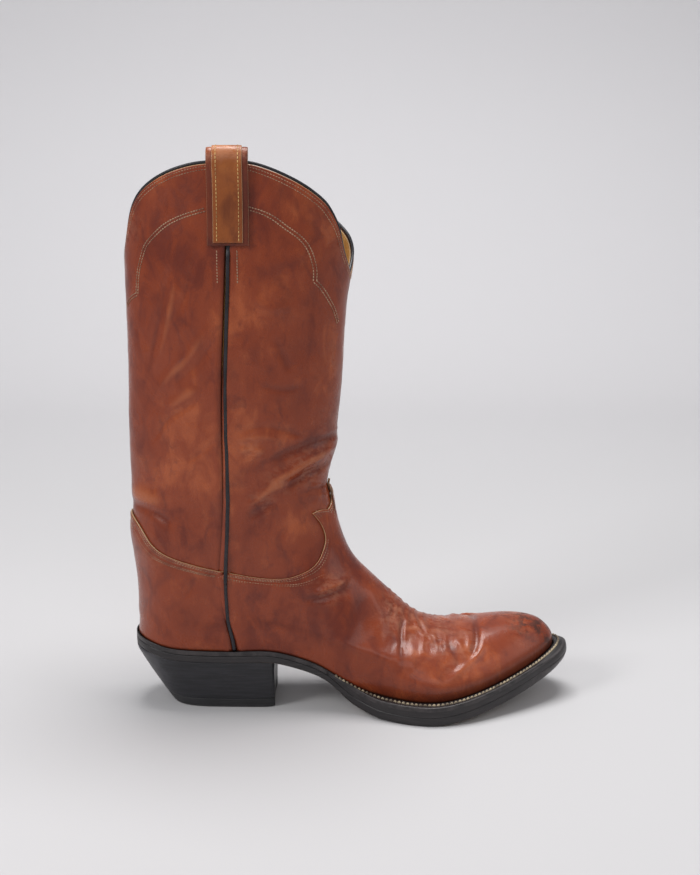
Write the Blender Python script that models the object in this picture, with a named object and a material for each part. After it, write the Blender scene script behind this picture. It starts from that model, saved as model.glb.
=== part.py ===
"""Cowboy boot, right foot: sole and heel stack, lasted upper, tall shaft, pull straps.

Built in millimetres and written out in metres. +X points to the toe, +Z up and the
lateral (outer) side of the boot faces -Y. The floor is z = 0.
"""
import bmesh
import bpy
import numpy as np

MM = 0.001
SOLE_GAP = 0.4            # clearance between the layers of the sole
GAP = 0.3                 # clearance kept between pieces that touch in the real boot
LAP_GAP = 1.0             # the same where vamp lies over shaft and their facets differ

# leather and sole thicknesses
OUTER_T = 1.5             # shaft leather
LINING_GAP = 0.8
STIFF_T = 1.2             # counter, side liners and toe puff
VAMP_T = 1.4              # vamp and heel counter cover, laid over the shaft
LINING_T = 1.0
LASTING_MARGIN = 11.0     # vamp leather turned in under the insole
FOLD_TURN = 0.7           # how far along its thickness the leather turns at that fold
INSOLE_T = 2.8
SOCK_T = 0.9
WELT_T, WELT_END_T = 3.2, 1.9
MIDSOLE_T, MIDSOLE_END_T = 3.2, 0.6
OUTSOLE_T, WAIST_SOLE_T = 6.2, 4.9
WELT_START_X = -18.0      # back end of welt and midsole
WELT_FULL_X = 2.0         # full thickness from here to the toe
WAIST_EDGE, BALL_EDGE, TOE_EDGE = 1.8, 10.2, 8.0      # how far the sole stands out
WAIST_END_X, BALL_START_X, BALL_END_X, TOE_START_X = -8.0, 26.0, 50.0, 100.0
PLATE_SOFTEN, THIN_SOFTEN = 0.6, 0.2  # bevel of the outsole, and of the thin layers

# heel
HEEL_BREAST_X = -53.0
HEEL_SEAT_Z = 40.0        # the heel tapers from here down
HEEL_CAP_H, HEEL_CAP_BEVEL = 7.0, 0.5
HEEL_LIFTS = 4
HEEL_LIFT_TOP = 27.6      # flat top of the last full lift; the seat lift fills up to the sole
HEEL_BACK_TUCK = 24.0     # how far the back of the heel slopes in from seat to floor
HEEL_SIDE_TUCK = 0.72     # width at the floor against the width at the seat
HEEL_BACK_CURVE = 0.1     # share of that slope which eases in below the seat
HEEL_CAP_ROUND = 0.985    # size of the cap's worn lower edge against the cap
HEEL_MIDDLE_X = HEEL_BREAST_X - 40
NAIL_D, NAIL_HEAD_D = 1.6, 2.6
NAIL_BOTTOM, NAIL_HEAD_TOP, NAIL_TOP = 0.8, 2.0, 19.0
NAIL_SPOTS = ((-107, 0), (-98, -15), (-98, 15), (-74, -17), (-74, 17))
PEG_D, PEG_SINK = 1.8, 0.4
PEG_SPOTS = tuple((x, side * y) for side in (-1, 1) for x, y in ((-42, 13.5), (-32, 14), (-22, 14.5)))
HOLE_MARGIN = 2.0         # how far a drill runs past the faces it opens
SHANK_X, SHANK_HALF_W = (-96, -20), 6.5
SHANK_DEPTHS = (0.5, 2.0)  # upper and lower face below the insole's underside
CORK_START_X = 0.0

# shaft top
RIM_FRONT_Z, RIM_BACK_Z, RIM_PEAK_Z = 297.0, 306.0, 370.5
BEAD_H, BEAD_OUT, BEAD_IN = 1.8, -0.7, -2.7
BEAD_CHAMFER = 0.5
PIPING_HALF, PIPING_RISE = 1.2, 1.4
PIPING_Z = (*np.linspace(45.6, 104, 14), *np.linspace(114, 314, 17), 318, 321, *np.linspace(330, 369, 5))
PIPING_FLAT_Z = 313.0     # the cord flattens from here up, under the strap
PIPING_FADE = 7.0
PIPING_SHOULDER = 0.6     # how far down its side the cord starts to round off
PIPING_FOOT = 5.0         # height over which it steps up onto the vamp
PIPING_CROWN = 0.55       # half width of its top against that of its base

# facets: front pieces share one set of columns, back pieces another
FRONT_COLS, BACK_COLS = 33, 25
RING_COLS, HEEL_COLS = 88, 25         # points once round the sole, and round the heel
RAND_END = 0.006          # share of the loop left open between rand and welt
FOOT_ROWS, SHAFT_ROWS = 13, 12
ROW_CROWDING = 1.25       # rows lie closer together near the sole
LAP_SPLIT = 3.5           # gap between foot lining and shaft lining, in ridge millimetres
LAP_ROW = 10              # foot row from which the shaft leather starts, under the vamp
STIFFENERS = {            # end of the boot, rows and columns of the foot grid
    "heel_counter_stiffener": ("back", 9, (2, 23)), "toe_puff": ("front", 6, (9, 24)),
    "side_liner_lateral": ("front", 5, (1, 9)), "side_liner_medial": ("front", 5, (24, 32)),
}
STRAP_W, STRAP_T, STRAP_X = 25.4, 1.6, -79.4
STRAP_FOOT_Z, STRAP_TOP_Z = 320.0, 380.4
OVERLAY_W, OVERLAY_T = 16.4, 1.0
STRAP_STEPS, OVERLAY_END = 36, 20
STRAP_SKEW = -1.5         # the inner end of a strap sits this much further back
STRAP_CLEAR, STRAP_INNER_CLEAR = 0.4, 2.1     # room between strap and leather, and strap and lining

# last and shaft form: one closed loop per station, heel back to ridge and round again.
# ridge x, ridge z, back x, back z, back radius, front radius, lateral and medial half
# widths at LOOP_SHARES of the way forward
LOOP_SHARES = (0.1, 0.25, 0.4, 0.55, 0.7, 0.85)
FOOT_STATIONS = (
    (143.0, 39.0, -148.5, 47.0, 30, 15,
     (28.5, 30.5, 30.0, 33.0, 48.5, 39.0), (28.0, 29.0, 24.0, 28.0, 37.5, 27.0)),
    (142.4, 44.0, -148.0, 53.0, 31, 16,
     (30.0, 32.0, 31.5, 35.5, 50.5, 39.5), (29.5, 31.5, 26.0, 30.0, 39.0, 28.0)),
    (131.0, 53.0, -148.0, 61.0, 31, 17,
     (31.0, 33.0, 32.5, 36.5, 47.0, 37.0), (30.5, 32.5, 29.0, 32.0, 38.0, 28.5)),
    (105.0, 56.0, -148.0, 70.0, 30, 20,
     (31.5, 34.0, 33.5, 35.5, 41.0, 34.0), (31.0, 33.5, 31.8, 33.8, 37.0, 29.5)),
    (75.0, 54.0, -148.0, 79.0, 29, 22,
     (31.5, 34.5, 34.5, 34.0, 36.0, 32.0), (31.0, 34.0, 34.0, 34.0, 35.0, 30.5)),
    (48.0, 59.3, -148.3, 88.0, 28, 19,
     (31.0, 35.0, 35.2, 34.5, 33.5, 29.0), (30.5, 34.5, 35.0, 34.5, 34.0, 29.0)),
    (27.0, 77.0, -148.8, 97.0, 27, 16,
     (29.5, 35.2, 36.0, 35.2, 33.0, 27.0), (29.5, 35.0, 36.0, 35.2, 33.0, 27.0)),
    (4.0, 99.0, -149.3, 107.0, 25, 15,
     (27.5, 35.0, 36.8, 36.3, 33.5, 26.5), (27.5, 35.0, 36.8, 36.3, 33.5, 26.5)),
    (-8.3, 118.0, -149.8, 119.0, 23, 16,
     (25.5, 34.0, 37.0, 36.8, 33.5, 26.0), (25.5, 34.0, 37.0, 36.8, 33.5, 26.0)),
)
SHAFT_STATIONS = (        # ridge x, height, back x, half width of the oval
    (-14.0, 145, -149.8, 37.6), (-12.0, 178, -150.3, 39.0), (-7.5, 215, -150.2, 41.0),
    (-4.5, 262, -149.6, 43.0), (0.5, 310, -149.4, 44.5), (4.0, 376, -149.5, 45.0),
)
FEATHER = (                # x and height of the line where the upper meets the sole
    (-151, 51), (-141, 49.5), (-130, 46.8), (-107, 44.6), (-77, 44.3), (-54, 44), (-36, 39.3),
    (-22, 33.4), (-8, 24.4), (5, 17.8), (20, 14.4), (34, 13.5), (48, 13.4), (62, 14.2),
    (76, 16.2), (100, 21.4), (117, 26.4), (133, 31.9), (144.5, 36.4), (154, 40.3),
)
FOOT_INSET = 2.1          # the form stands this far inside the vamp and counter leather
INSET_Z, INSET_FADE = 96.0, 30.0      # height up to which it does, and where the inset ends
TOE_SWING = 10.0          # how far the toe swings towards the big toe
SWING_X, SWING_LENGTH = 30.0, 115.0   # where the swing starts, and how long it grows
SEAT_FADE = 1.6           # how quickly the loops turn level above the feather line
TOE_SINK, SINK_RISE = 10, 20.0        # how close to the toe, and how far up, it dips to the sole
SEAM = (                   # station, x of the side seam
    (0, -80), (2, -82), (4, -83.9), (6, -84.6), (8, -83.5), (9, -82.2), (11, -82.1),
    (12, -80.5), (13, -78.4), (14, -77),
)

# lines drawn on the side of the boot, as (x, z)
RIM_BACK_LINE = (
    (-147, 321), (-144.3, 333), (-140, 344.5), (-133.5, 353), (-126, 358.8), (-116, 364),
    (-105, 367.7), (-94, 369.8),
)
RIM_FRONT_LINE = (
    (-65, 369.8), (-57.5, 367.9), (-48.6, 364.5), (-39.5, 360), (-30.5, 354.4), (-22.8, 348.2),
    (-16.8, 342.3), (-12.4, 335.6), (-8.2, 327.5), (-5.4, 319.4), (-2.8, 310.5),
)
VAMP_LINE = (
    (-70, 98.8), (-58, 97.1), (-47, 96.7), (-35.3, 99.2), (-27.3, 102.6), (-21.8, 107.8),
    (-19.2, 113.5), (-18.2, 120), (-17.8, 128), (-17, 136), (-16.4, 142),
)
COUNTER_LINE = (
    (-147, 134), (-141, 128), (-134.8, 120), (-127, 114), (-116, 109.7), (-101.4, 105.5),
    (-90.2, 103),
)
TONGUE_Z = 158.0
COUNTER_BACK_Z = 136.5
SEAM_VAMP_Z = 102.2


def spline_weights(knots, x):
    """Weights of a natural cubic spline's knots at each x."""
    k = np.asarray(knots, float)
    n, h = len(k), np.diff(k)
    a, b = np.zeros((n, n)), np.zeros((n, n))
    a[0, 0] = a[-1, -1] = 1
    for i in range(1, n - 1):
        a[i, i - 1:i + 2] = h[i - 1], 2 * (h[i - 1] + h[i]), h[i]
        b[i, i - 1:i + 2] = 6 / h[i - 1], -6 / h[i - 1] - 6 / h[i], 6 / h[i]
    m = np.linalg.solve(a, b)
    x = np.clip(np.ravel(x), k[0], k[-1])
    i = np.clip(np.searchsorted(k, x, side="right") - 1, 0, n - 2)
    s, t, row = (k[i + 1] - x) / h[i], (x - k[i]) / h[i], np.arange(len(x))
    w = np.zeros((len(x), n))
    w[row, i] += s
    w[row, i + 1] += t
    bend = ((s**3 - s) * h[i]**2 / 6)[:, None] * m[i]
    return w + bend + ((t**3 - t) * h[i]**2 / 6)[:, None] * m[i + 1]


def spline(points, x):
    points = np.asarray(points, float)
    return (spline_weights(points[:, 0], x) @ points[:, 1]).reshape(np.shape(x))


def blend(x):
    x = np.clip(x, 0, 1)
    return x * x * (3 - 2 * x)


def form_tables():
    """Knots u along the ridge, ridge and back lines, and the loop width shapes."""
    share = np.array(LOOP_SHARES)
    root = 2 * np.sqrt(share * (1 - share))
    ridge, back, widths = [], [], ([], [])
    for rx, rz, bx, bz, rb, rf, lateral, medial in FOOT_STATIONS:
        ridge.append((rx, rz))
        back.append((bx, bz))
        ends = np.sqrt(rb * (rx - bx) / 2), np.sqrt(rf * (rx - bx) / 2)
        for rows, half in zip(widths, (lateral, medial)):
            rows.append([ends[0], *(np.array(half) / root), ends[1]])
    for rx, z, bx, half in SHAFT_STATIONS:
        ridge.append((rx, z))
        back.append((bx, z))
        for rows in widths:
            rows.append([half] * (len(share) + 2))
    ridge = np.array(ridge)
    steps = np.hypot(*np.diff(ridge, axis=0).T)
    return np.concatenate([[0], np.cumsum(steps)]), ridge, np.array(back), np.array(widths)


U, RIDGE, BACK, WIDTHS = form_tables()
Q_KNOTS = (0, *LOOP_SHARES, 1)
U_SHAFT = U[8]            # the loops are level from here up
PHI_SCALE = np.array([150.0, 1.0])    # makes a step of phi about as long as the same step of u


def seam_ratio(u, back_x, ridge_x):
    share = (spline([(U[i], x) for i, x in SEAM], u) - back_x) / (ridge_x - back_x)
    return (1 - share) / share


def surface(phi, u):
    """Point of the boot's outer form. phi: 0 back, 0.5 lateral seam, 1 front, 1.5 medial seam."""
    shape = np.broadcast(phi, u).shape
    phi = np.broadcast_to(phi, shape).ravel().astype(float)
    u = np.broadcast_to(u, shape).ravel().astype(float)
    turn = np.mod(phi, 2)
    medial = turn > 1
    c = (1 - np.cos(np.pi * np.where(medial, 2 - turn, turn))) / 2
    weights = spline_weights(U, u)
    b, f = weights @ BACK, weights @ RIDGE
    q = c / (c + seam_ratio(u, b[:, 0], f[:, 0]) * (1 - c))
    x, z = (b + (f - b) * q[:, None]).T
    seat = BACK[0] + (RIDGE[0] - BACK[0]) * q[:, None]
    fade = np.clip(1 - u / U_SHAFT, 0, 1)**SEAT_FADE
    ridge_sink = (spline(FEATHER, f[:, 0]) - RIDGE[0, 1]) * q**TOE_SINK * blend(u / SINK_RISE)
    z = z + (spline(FEATHER, x) - seat[:, 1] - ridge_sink) * fade
    widths = np.einsum("iu,suq,iq->si", weights, WIDTHS, spline_weights(Q_KNOTS, q))
    half = 2 * np.sqrt(np.clip(q * (1 - q), 0, None)) * np.where(medial, widths[1], widths[0])
    y = TOE_SWING * blend((x - SWING_X) / SWING_LENGTH) + np.where(medial, half, -half)
    return np.stack([x, y, z], 1).reshape(*shape, 3)


def unit(v):
    return v / np.linalg.norm(v, axis=-1, keepdims=True)


def normals(phi, u):
    e, d = 1e-3, 0.05
    across = surface(phi + e, u) - surface(phi - e, u)
    along = surface(phi, np.minimum(u + d, U[-1])) - surface(phi, np.maximum(u - d, 0))
    return unit(np.cross(across, along))


def form(phi, u, offset):
    """Point of a leather layer at an offset from the form, drawn in below the vamp line."""
    p = surface(phi, u)
    inset = FOOT_INSET * (1 - blend((p[..., 2:] - INSET_Z) / INSET_FADE))
    return p + normals(phi, u) * (offset - inset)


def even_phi(a, b, count):
    """phi values along the feather line, spaced by distance and by turning together."""
    phi = np.linspace(a, b, 400)
    step = np.diff(surface(phi, 0.0)[:, :2], axis=0)
    length = np.hypot(*step.T)
    bend = np.abs(np.diff(np.unwrap(np.arctan2(step[:, 1], step[:, 0])), append=0.0))
    bend[-1] = bend[-2]
    reach = np.concatenate([[0], np.cumsum(length / length.sum() + bend / bend.sum())])
    return np.interp(np.linspace(0, reach[-1], count), reach, phi)


def u_at_height(phi, z, low=0.0):
    phi, z = np.broadcast_arrays(phi, z)
    lo, hi = np.full(z.shape, low), np.full(z.shape, U[-1])
    for _ in range(40):
        mid = (lo + hi) / 2
        under = surface(phi, mid)[..., 2] < z
        lo, hi = np.where(under, mid, lo), np.where(under, hi, mid)
    return (lo + hi) / 2


def locate(x, z):
    """phi on the lateral side, and u, of the point seen at (x, z) from the side."""
    x, z = np.asarray(x, float), np.asarray(z, float)
    phi = np.full(x.shape, 0.5)
    for _ in range(25):
        u = u_at_height(phi, z)
        weights = spline_weights(U, u)
        b, f = (weights @ BACK)[:, 0], (weights @ RIDGE)[:, 0]
        q = np.clip((x - b) / (f - b), 0, 1)
        k = seam_ratio(u, b, f)
        phi = (phi + 2 * np.arccos(1 - 2 * q * k / (1 - q + q * k)) / np.pi) / 3
    return phi, u


def resample(points, count):
    """Evenly spaced points along a smooth curve through the given ones."""
    points = np.asarray(points, float)
    reach = np.concatenate([[0], np.cumsum(np.linalg.norm(np.diff(points, axis=0), axis=1))])
    fine = spline_weights(reach, np.linspace(0, reach[-1], 400)) @ points
    reach = np.concatenate([[0], np.cumsum(np.linalg.norm(np.diff(fine, axis=0), axis=1))])
    at = np.linspace(0, reach[-1], count)
    return np.stack([np.interp(at, reach, fine[:, i]) for i in range(points.shape[1])], 1)


def side_line(points, start, end):
    """(phi, u) control points of a line on the lateral side, with its two end points."""
    phi, u = locate(*np.array(points, float).T)
    line = np.stack([phi, u], 1)
    return np.vstack([p for p in (start, line, end) if p is not None])


def on_seam(z):
    return np.array([[0.5, u_at_height(np.array([0.5]), np.array([z]))[0]]])


def on_ridge(phi, z, low):
    return np.array([[phi, u_at_height(np.array([phi]), np.array([z]), low)[0]]])


def seam_phi(u, centre, half_gap):
    """phi at half_gap to the front (+) or back (-) of the seam at centre."""
    u = np.asarray(u, float)
    speed = np.linalg.norm(surface(centre + 1e-3, u) - surface(centre - 1e-3, u), axis=-1) / 2e-3
    return centre + half_gap / speed


def patch(bottom, top, rows, half_gap):
    """Parameter grid between two (phi, u) lines, its sides kept half_gap off the seams."""
    w = np.linspace(0, 1, rows)[:, None] ** ROW_CROWDING
    u = bottom[:, 1] * (1 - w) + top[:, 1] * w
    lo, hi = top[0, 0], top[-1, 0]
    share_b = (bottom[:, 0] - bottom[0, 0]) / (bottom[-1, 0] - bottom[0, 0])
    share_t = (top[:, 0] - lo) / (hi - lo)
    share = share_b * (1 - w) + share_t * w
    left = seam_phi(u, lo, half_gap)
    right = seam_phi(u, hi, -half_gap)
    return left + (right - left) * share, u


def material(name, color, roughness):
    mat = bpy.data.materials.new(name)
    mat.use_nodes = True
    shader = mat.node_tree.nodes["Principled BSDF"]
    shader.inputs["Base Color"].default_value = (*color, 1)
    shader.inputs["Roughness"].default_value = roughness
    return mat


def add_object(name, verts, faces, mat):
    mesh = bpy.data.meshes.new(name)
    mesh.from_pydata([tuple(v) for v in np.asarray(verts) * MM], [], faces)
    mesh.validate()
    mesh.materials.append(mat)
    obj = bpy.data.objects.new(name, mesh)
    bpy.context.scene.collection.objects.link(obj)
    return obj


def grid_solid(name, outer, inner, mat):
    """Closed solid between two equal grids of points (rows, cols, 3)."""
    rows, cols = outer.shape[:2]
    verts = np.vstack([outer.reshape(-1, 3), inner.reshape(-1, 3)])
    at = np.arange(rows * cols).reshape(rows, cols)
    a, b, c, d = at[:-1, :-1].ravel(), at[:-1, 1:].ravel(), at[1:, 1:].ravel(), at[1:, :-1].ravel()
    faces = list(zip(a, b, c, d))
    shift = rows * cols
    faces += [(p + shift, s + shift, r + shift, q + shift) for p, q, r, s in zip(a, b, c, d)]
    loop = [*at[0, :], *at[1:, -1], *at[-1, -2::-1], *at[-2:0:-1, 0]]
    for p, q in zip(loop, loop[1:] + loop[:1]):
        faces.append((q, p, p + shift, q + shift))
    return add_object(name, verts, [tuple(int(i) for i in f) for f in faces], mat)


def shell(name, phi, u, inner, outer, mat, lasted=False):
    """Leather shell over a parameter grid, with the lasting margin turned under if asked."""
    layers = []
    for offset in (outer, inner):
        p = form(phi, u, offset)
        if lasted:
            drop = offset - LAP_GAP + GAP
            side = unit(normals(phi[:1], u[:1]) * (1, 1, 0))
            edge = form(phi[:1], u[:1], LAP_GAP)
            margin = [edge - side * LASTING_MARGIN, edge, edge + side * (offset - LAP_GAP) * FOLD_TURN]
            for row, fall in zip(margin, (1, 1, FOLD_TURN)):
                row[..., 2] = spline(FEATHER, row[..., 0]) - drop * fall
            p = np.concatenate([*margin, p])
        layers.append(p)
    return grid_solid(name, *layers, mat)


def rings_solid(name, rings, mat):
    """Solid from a stack of equal rings, capped across from one side of the ring to the other."""
    count, size = len(rings), len(rings[0])
    faces = []
    for level in range(count - 1):
        for i in range(size):
            j = (i + 1) % size
            low = level * size
            faces.append((low + i, low + j, low + size + j, low + size + i))
    for level, flip in ((0, True), (count - 1, False)):
        base = level * size
        for i in range(size // 2 - (0 if size % 2 else 1)):
            face = [base + i, base + i + 1, base + size - 2 - i, base + size - 1 - i]
            face = list(dict.fromkeys(face))
            faces.append(tuple(reversed(face)) if flip else tuple(face))
    return add_object(name, np.vstack(rings), faces, mat)


def sweep(name, sections, mat):
    """Solid from equal closed sections placed one after the other, closed at both ends."""
    count, size = len(sections), len(sections[0])
    faces = []
    for s in range(count - 1):
        for i in range(size):
            j = (i + 1) % size
            a = s * size
            faces.append((a + i, a + j, a + size + j, a + size + i))
    faces.append(tuple(range(size))[::-1])
    faces.append(tuple(range((count - 1) * size, count * size)))
    return add_object(name, np.vstack(sections), faces, mat)


def face_outwards():
    for obj in bpy.context.scene.objects:
        bm = bmesh.new()
        bm.from_mesh(obj.data)
        bmesh.ops.recalc_face_normals(bm, faces=bm.faces)
        bm.to_mesh(obj.data)
        bm.free()


# ------------------------------------------------------------------ sole and heel

def sole_width(x):
    """How far the sole's edge stands out from the upper at x."""
    to_ball = (BALL_EDGE - WAIST_EDGE) * blend((x - WAIST_END_X) / (BALL_START_X - WAIST_END_X))
    to_toe = (BALL_EDGE - TOE_EDGE) * blend((x - BALL_END_X) / (TOE_START_X - BALL_END_X))
    return WAIST_EDGE + to_ball - to_toe


def outline(phi, out):
    """Plan of the feather line moved outwards by out (a number or a function of x)."""
    e = 1e-3
    p = surface(phi, 0.0)
    t = surface(phi + e, 0.0) - surface(phi - e, 0.0)
    side = unit(np.stack([t[..., 1], -t[..., 0]], -1))
    reach = np.broadcast_to(out(p[..., 0]) if callable(out) else out, p.shape[:-1])
    return p[..., :2] + side * reach[..., None]


def ring(phi, out, height):
    """Ring of points on the plan outline at height(x)."""
    xy = outline(phi, out)
    return np.column_stack([xy, height(xy[:, 0])])


def fore(x):
    return blend((x - WELT_START_X) / (WELT_FULL_X - WELT_START_X))


def feather_z(x):
    return spline(FEATHER, x)


def welt_t(x):
    return WELT_END_T + (WELT_T - WELT_END_T) * fore(x)


def midsole_t(x):
    return MIDSOLE_END_T + (MIDSOLE_T - MIDSOLE_END_T) * fore(x)


def outsole_top(x):
    return feather_z(x) - welt_t(x) - midsole_t(x) - 2 * SOLE_GAP


def outsole_bottom(x):
    return outsole_top(x) - WAIST_SOLE_T - (OUTSOLE_T - WAIST_SOLE_T) * fore(x)


def phi_at_x(x):
    """phi on the lateral side where the feather line passes x."""
    lo, hi = 0.0, 1.0
    for _ in range(40):
        mid = (lo + hi) / 2
        lo, hi = (mid, hi) if surface(mid, 0.0)[0] < x else (lo, mid)
    return (lo + hi) / 2


def full_ring_phi(count):
    """phi once round, starting and ending beside the heel back, the same on both sides."""
    return (np.arange(count) + 0.5) * 2 / count


def toe_phi(x, count):
    start = phi_at_x(x)
    return np.linspace(start, 2 - start, count)


def heel_phi(x, count):
    start = phi_at_x(x)
    return np.linspace(-start, start, count)


def plate(name, phi, out, top, bottom, mat, soften=THIN_SOFTEN):
    """Flat-lying solid with softened top and bottom edges."""
    def inner(x):
        return (out(x) if callable(out) else out) - soften
    rings = [ring(phi, inner, bottom), ring(phi, out, lambda x: bottom(x) + soften),
             ring(phi, out, lambda x: top(x) - soften), ring(phi, inner, top)]
    return rings_solid(name, rings, mat)


def edge_strip(name, phi, inner, outer, top, bottom, mat):
    """Strip round the edge of the sole, open at its two ends."""
    corners = [ring(phi, inner, bottom), ring(phi, outer, bottom),
               ring(phi, outer, top), ring(phi, inner, top)]
    return sweep(name, list(np.stack(corners, 1)), mat)


def heel_ring(phi, z):
    """Ring of the heel block at height z, the seat's plan drawn in towards the floor."""
    drop = np.clip(1 - np.broadcast_to(z, (len(phi),))[:, None] / HEEL_SEAT_Z, 0, 1)
    xy = outline(phi, sole_width)
    share = np.clip((HEEL_BREAST_X - xy[:, :1]) / (HEEL_BREAST_X - BACK[0, 0]), 0, 1.1)
    x = xy[:, :1] + HEEL_BACK_TUCK * share * drop * (1 - HEEL_BACK_CURVE * (1 - drop))
    y = xy[:, 1:] * (1 - (1 - HEEL_SIDE_TUCK) * drop)
    return np.column_stack([x, y, np.broadcast_to(z, (len(phi),))])


def add_heel(lift_mat, cap_mat):
    phi = heel_phi(HEEL_BREAST_X, HEEL_COLS)
    cap = [heel_ring(phi, 0.0), heel_ring(phi, HEEL_CAP_BEVEL), heel_ring(phi, HEEL_CAP_H)]
    middle = np.array([HEEL_MIDDLE_X, 0])
    cap[0][:, :2] = middle + (cap[0][:, :2] - middle) * HEEL_CAP_ROUND
    solids = [rings_solid("heel_cap", cap, cap_mat)]
    edges = np.linspace(HEEL_CAP_H, HEEL_LIFT_TOP, HEEL_LIFTS + 1)
    for i in range(HEEL_LIFTS):
        rings = [heel_ring(phi, edges[i] + GAP), heel_ring(phi, edges[i + 1])]
        solids.append(rings_solid("heel_lift_%d" % (HEEL_LIFTS - i), rings, lift_mat))
    top = heel_ring(phi, HEEL_LIFT_TOP)
    for _ in range(6):
        top = heel_ring(phi, outsole_bottom(top[:, 0]) - GAP)
    seat_lift = [heel_ring(phi, HEEL_LIFT_TOP + GAP), top]
    solids.append(rings_solid("heel_seat_lift", seat_lift, lift_mat))
    return solids


def cylinder(x, y, radius, z0, z1, sides=12):
    turn = np.arange(sides) * 2 * np.pi / sides
    circle = np.stack([x + radius * np.cos(turn), y + radius * np.sin(turn)], 1)
    return [np.column_stack([circle, np.full(sides, z)]) for z in (z0, z1)]


def drill(obj, holes):
    """Cut round holes, each given as (x, y, radius, bottom, top)."""
    mat = obj.data.materials[0]
    cutters = [sweep("cutter", cylinder(*hole), mat) for hole in holes]
    for cutter in cutters:
        cutter.hide_render = True
        cutter.display_type = "WIRE"
        mod = obj.modifiers.new("hole", "BOOLEAN")
        mod.operation, mod.solver, mod.object = "DIFFERENCE", "EXACT", cutter
    graph = bpy.context.evaluated_depsgraph_get()
    mesh = bpy.data.meshes.new_from_object(obj.evaluated_get(graph))
    obj.modifiers.clear()
    obj.data = mesh
    for cutter in cutters:
        bpy.data.objects.remove(cutter, do_unlink=True)


def add_fasteners(heel, outsole, steel, wood):
    """Heel nails in from the floor side, and pegs through the waist of the outsole."""
    for i, (x, y) in enumerate(NAIL_SPOTS):
        head = cylinder(x, y, NAIL_HEAD_D / 2, NAIL_BOTTOM, NAIL_HEAD_TOP)
        shaft = cylinder(x, y, NAIL_D / 2, NAIL_HEAD_TOP, NAIL_TOP)
        sweep("heel_nail_%d" % (i + 1), [*head, *shaft], steel)
    in_cap = (NAIL_HEAD_D / 2 + GAP, -HOLE_MARGIN, HEEL_CAP_H + HOLE_MARGIN)
    drill(heel[0], [(x, y, *in_cap) for x, y in NAIL_SPOTS])
    in_lift = (NAIL_D / 2 + GAP, HEEL_CAP_H - HOLE_MARGIN, NAIL_TOP + GAP)
    for lift in heel[1:4]:
        drill(lift, [(x, y, *in_lift) for x, y in NAIL_SPOTS])
    holes = []
    for i, (x, y) in enumerate(PEG_SPOTS):
        low, high = float(outsole_bottom(np.array(x))), float(outsole_top(np.array(x)))
        peg = cylinder(x, y, PEG_D / 2, low + PEG_SINK, high - PEG_SINK)
        sweep("sole_peg_%d" % (i + 1), peg, wood)
        holes.append((x, y, PEG_D / 2 + GAP, low - HOLE_MARGIN, high + HOLE_MARGIN))
    drill(outsole, holes)


def add_shank(mat):
    """Spring steel strip under the waist of the insole."""
    top, bottom = SHANK_DEPTHS
    corners = ((-1, bottom), (1, bottom), (1, top), (-1, top))
    sections = []
    for x in np.linspace(*SHANK_X, 16):
        z = float(feather_z(x))
        sections.append([(x, side * SHANK_HALF_W, z - depth) for side, depth in corners])
    sweep("shank", sections, mat)


def add_sole(mats):
    """Outsole, midsole, welt, heel rand, cork, shank, insole and sock lining."""
    around = full_ring_phi(RING_COLS)
    outsole = plate("outsole", around, sole_width, outsole_top, outsole_bottom, mats["edge"],
                    PLATE_SOFTEN)
    start = phi_at_x(WELT_START_X)
    front = around[(around > start) & (around < 2 - start)]
    plate("midsole", front, sole_width, lambda x: feather_z(x) - welt_t(x) - SOLE_GAP,
          lambda x: outsole_top(x) + SOLE_GAP, mats["edge"])
    leather_face = LAP_GAP + VAMP_T - FOOT_INSET + 2 * GAP
    edge_strip("welt", front, leather_face, sole_width, feather_z,
               lambda x: feather_z(x) - welt_t(x), mats["edge"])
    seat = np.concatenate([around[around > front[-1]] - 2, around[around < front[0]]])
    seat = np.concatenate([[RAND_END - front[0]], seat, [front[0] - RAND_END]])
    edge_strip("heel_rand", seat, leather_face, sole_width, feather_z,
               lambda x: outsole_top(x) + SOLE_GAP, mats["edge"])
    inside = -(FOOT_INSET + OUTER_T + LINING_GAP + LINING_T + 2 * GAP)
    plate("insole", around, inside, lambda x: feather_z(x) + 2 * GAP + INSOLE_T,
          lambda x: feather_z(x) + 2 * GAP, mats["insole"])
    plate("sock_lining", around, inside - 2 * GAP,
          lambda x: feather_z(x) + INSOLE_T + 3 * GAP + SOCK_T,
          lambda x: feather_z(x) + INSOLE_T + 3 * GAP, mats["lining"])
    inside_margin = -(LASTING_MARGIN + FOOT_INSET - LAP_GAP + 2 * GAP)
    plate("cork_filler", toe_phi(CORK_START_X, 41), inside_margin, lambda x: feather_z(x) - GAP,
          lambda x: feather_z(x) - welt_t(x) + GAP, mats["cork"])
    add_shank(mats["steel"])
    return outsole


# ------------------------------------------------------------------ upper and shaft

def lines():
    """The pattern lines of the boot as (phi, u), over the lateral half of front or back."""
    counter = side_line(COUNTER_LINE, on_ridge(0.0, COUNTER_BACK_Z, 0.0), on_seam(SEAM_VAMP_Z))[::-1]
    back_rim = side_line(RIM_BACK_LINE, on_ridge(0.0, RIM_BACK_Z, U_SHAFT), on_seam(RIM_PEAK_Z))[::-1]
    counter[:, 0] *= -1
    back_rim[:, 0] *= -1
    tongue = on_ridge(1.0, TONGUE_Z, U_SHAFT)
    front = on_ridge(1.0, RIM_FRONT_Z, U_SHAFT)
    return {
        "vamp": side_line(VAMP_LINE, on_seam(SEAM_VAMP_Z), tongue),
        "front rim": side_line(RIM_FRONT_LINE, on_seam(RIM_PEAK_Z), front),
        "counter": counter,
        "back rim": back_rim,
    }


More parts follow.
